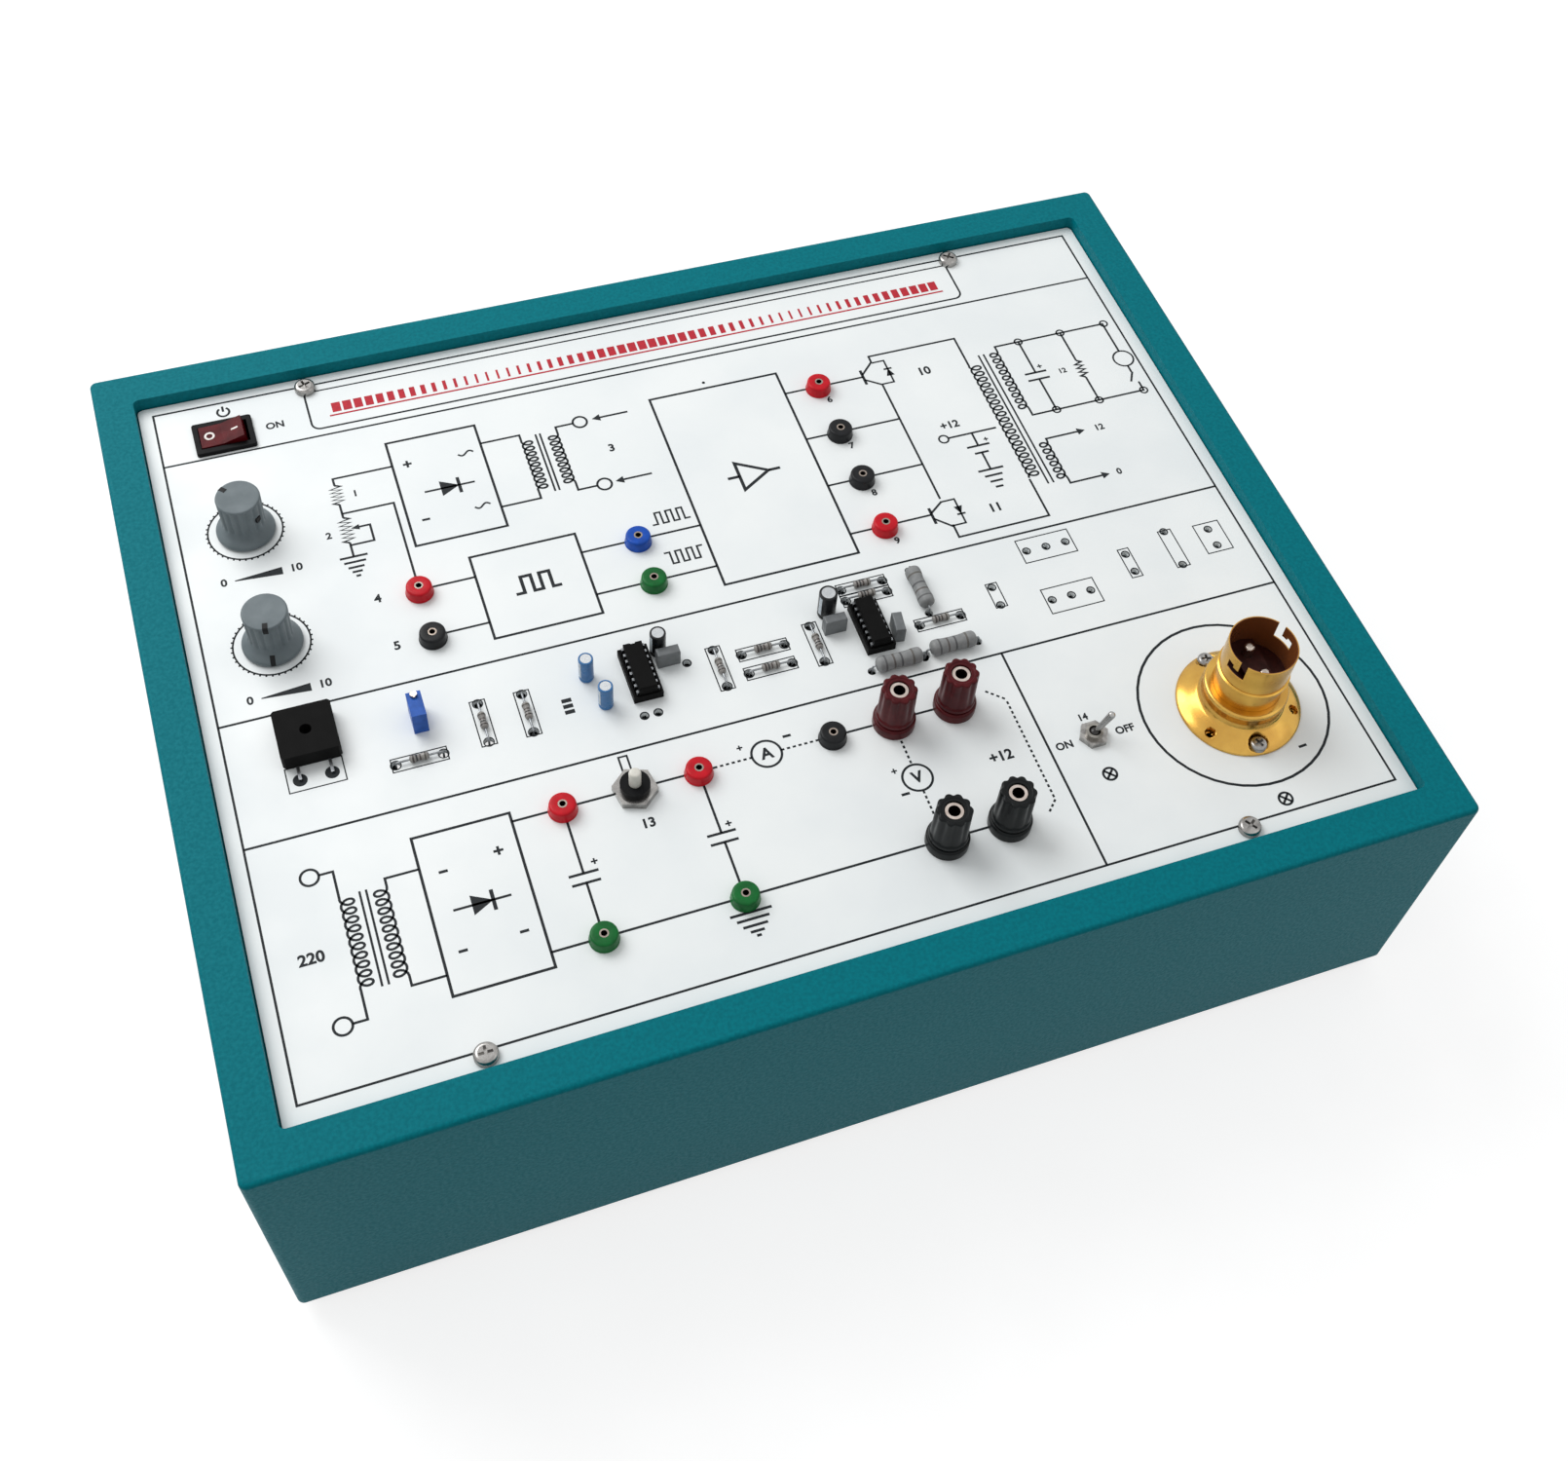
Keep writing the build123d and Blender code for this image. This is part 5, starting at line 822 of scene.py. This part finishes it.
# Polished lacquered brass: warm, near-mirror, with faint spinning lines.
brass = finish("polished_spun_brass", ("D2A64E", "BE9040"), 9.0, (0.18, 0.28), relief=0.006,
               relief_grain=1.6, Metallic=1.0, Coat_Weight=0.3)
# Compression moulded phenolic: brown, slightly glossy.
brown_phenolic = finish("brown_moulded_phenolic", ("3A1610", "2A0E09"), 2.5, (0.3, 0.45), relief=0.02,
                        relief_grain=0.8, Specular_IOR_Level=0.12)
build("lampholder_dome", [turned(fine(dome_outline, 0.4), lamp_x, lamp_y, panel_top, 320, flange_pits)],
      brass, "holder_brass", "cabinet", "lampholder_base", sharp=50)
build("lampholder_shade_ring", [turned(ring_outline, lamp_x, lamp_y, panel_top + dome_height, 96)],
      brass, "holder_brass", "cabinet", "lampholder_ring")
# Inside the barrel the brass has a matt brown tarnish: the distance from its axis tells the two apart.
shell_brass = finish("spun_brass_tarnished_inside", ("D2A64E", "BE9040"), 9.0, (0.18, 0.28),
                     relief=0.006, relief_grain=1.6, Metallic=1.0)
offset = add(shell_brass, "ShaderNodeMapping", {
    "Vector": add(shell_brass, "ShaderNodeTexCoord").outputs["Object"],
    "Location": (-lamp_x * mm, -(lamp_y + plan_shift) * mm, 0), "Scale": (1, 1, 0)}).outputs["Vector"]
away = add(shell_brass, "ShaderNodeVectorMath", {0: offset}, operation="LENGTH").outputs["Value"]
dress(two_tone(shell_brass, beyond(shell_brass, away, barrel_middle * mm), "7A4422"), "lampholder_shell")
dress(brown_phenolic, "lampholder_insulator")
dress(plated_brass, "lamp_contact_front", "lamp_contact_back")

# Inside the case and at its back
# Two transformers of stacked silicon steel with taped windings, a fibreglass circuit board on
# plated standoffs with two extruded heat sinks, and the moulded mains inlet in the back wall.

# Stacked laminations, varnished: grey, with the sheets' edges as fine lines.
laminations = finish("varnished_laminations", ("5A5A5C", "3C3C40"), 2.0, (0.4, 0.6), relief=0.08,
                     relief_grain=0.6, stretch=(0.05, 1, 0.05), Metallic=0.7)
# Polyester tape: yellow, shiny, in overlapping turns.
yellow_tape = finish("polyester_winding_tape", ("D2B14A", "BE9B38"), 6.0, (0.2, 0.35),
                     relief=0.05, relief_grain=4.0)
# Green solder mask on fibreglass.
solder_mask = finish("green_solder_mask", ("17603A", "124E2F"), 4.0, (0.3, 0.45),
                     relief=0.01, relief_grain=1.0)
dress(laminations, "transformer_cores")
dress(yellow_tape, "transformer_windings")
dress(solder_mask, "circuit_board")
dress(nickel_plate, "board_standoffs")
dress(bare_aluminium, "heat_sinks")
dress(black_nylon, "mains_inlet")

# Camera, floor and light
# The camera stands where the photograph was taken. The floor is pale and meets a white surround. The
# room is brightest at the back left, where a large soft lamp hangs; a weak one fills the front right.

scene = bpy.context.scene
camera = bpy.data.objects.new("camera", bpy.data.cameras.new("camera"))
camera.data.lens, camera.data.sensor_width = 42.715, 36.0
camera.data.shift_x, camera.data.shift_y = -0.0289, -0.0578
camera.data.clip_end = 20.0
camera.location = (-0.144313, -0.362602, 0.622056)
camera.rotation_euler = Euler((0.62374005, -0.07591556, -0.34895936), "XYZ")
scene.collection.objects.link(camera)
scene.camera = camera
scene.view_settings.view_transform = "Standard"

floor_mesh = bpy.data.meshes.new("floor")
floor_mesh.from_pydata([(-6, -6, 0), (6, -6, 0), (6, 6, 0), (-6, 6, 0)], [], [(0, 1, 2, 3)])
floor = bpy.data.objects.new("floor", floor_mesh)
scene.collection.objects.link(floor)


def seen_directly(surface):
    """1 for a ray from the camera, a mirror or glass, and 0 for a ray that carries light."""
    path = add(surface, "ShaderNodeLightPath")
    seen = path.outputs["Is Camera Ray"]
    for kind in ("Is Glossy Ray", "Is Transmission Ray"):
        seen = add(surface, "ShaderNodeMath", {0: seen, 1: path.outputs[kind]},
                   operation="MAXIMUM").outputs["Value"]
    return seen


# Matt white paper: it keeps the shadow, and the camera, metal and glass see it lifted to white.
paper = finish("matt_white_paper", ("AAAAAA", "A6A6A6"), 40.0, (0.85, 0.95), Specular_IOR_Level=0.1)
paper_shader = paper.node_tree.nodes["Principled BSDF"]
paper_shader.inputs["Emission Color"].default_value = (1, 1, 1, 1)
lift = add(paper, "ShaderNodeMath", {0: seen_directly(paper), 1: 0.75}, operation="MULTIPLY")
paper.node_tree.links.new(lift.outputs["Value"], paper_shader.inputs["Emission Strength"])
floor_mesh.materials.append(paper)

world = bpy.data.worlds.new("white_room")
world.use_nodes = True
scene.world = world
# Matt surfaces see a room that is bright at the back left and dim at the front right.
lean = add(world, "ShaderNodeVectorMath", {
    0: add(world, "ShaderNodeTexCoord").outputs["Generated"], 1: (-0.45, 0.6, 0.65)}, operation="DOT_PRODUCT")
ambient = add(world, "ShaderNodeMapRange", {
    "Value": lean.outputs["Value"], "From Min": -0.8, "From Max": 1.0, "To Min": 0.2, "To Max": 0.75})
strength = add(world, "ShaderNodeMapRange", {
    "Value": seen_directly(world), "To Min": ambient.outputs["Result"], "To Max": 1.0})
room = world.node_tree.nodes["Background"]
room.inputs["Color"].default_value = (1, 1, 1, 1)
world.node_tree.links.new(strength.outputs["Result"], room.inputs["Strength"])
for name, place, size, power in (
        ("soft_lamp", (-0.55, 0.75, 1.1), 0.9, 11.0), ("fill_lamp", (0.9, -0.5, 1.2), 0.8, 0.6)):
    lamp = bpy.data.objects.new(name, bpy.data.lights.new(name, "AREA"))
    lamp.data.size, lamp.data.energy = size, power
    lamp.location = place
    aim = Vector((0, 0, 0.1)) - lamp.location
    lamp.rotation_euler = aim.to_track_quat("-Z", "Y").to_euler()
    scene.collection.objects.link(lamp)
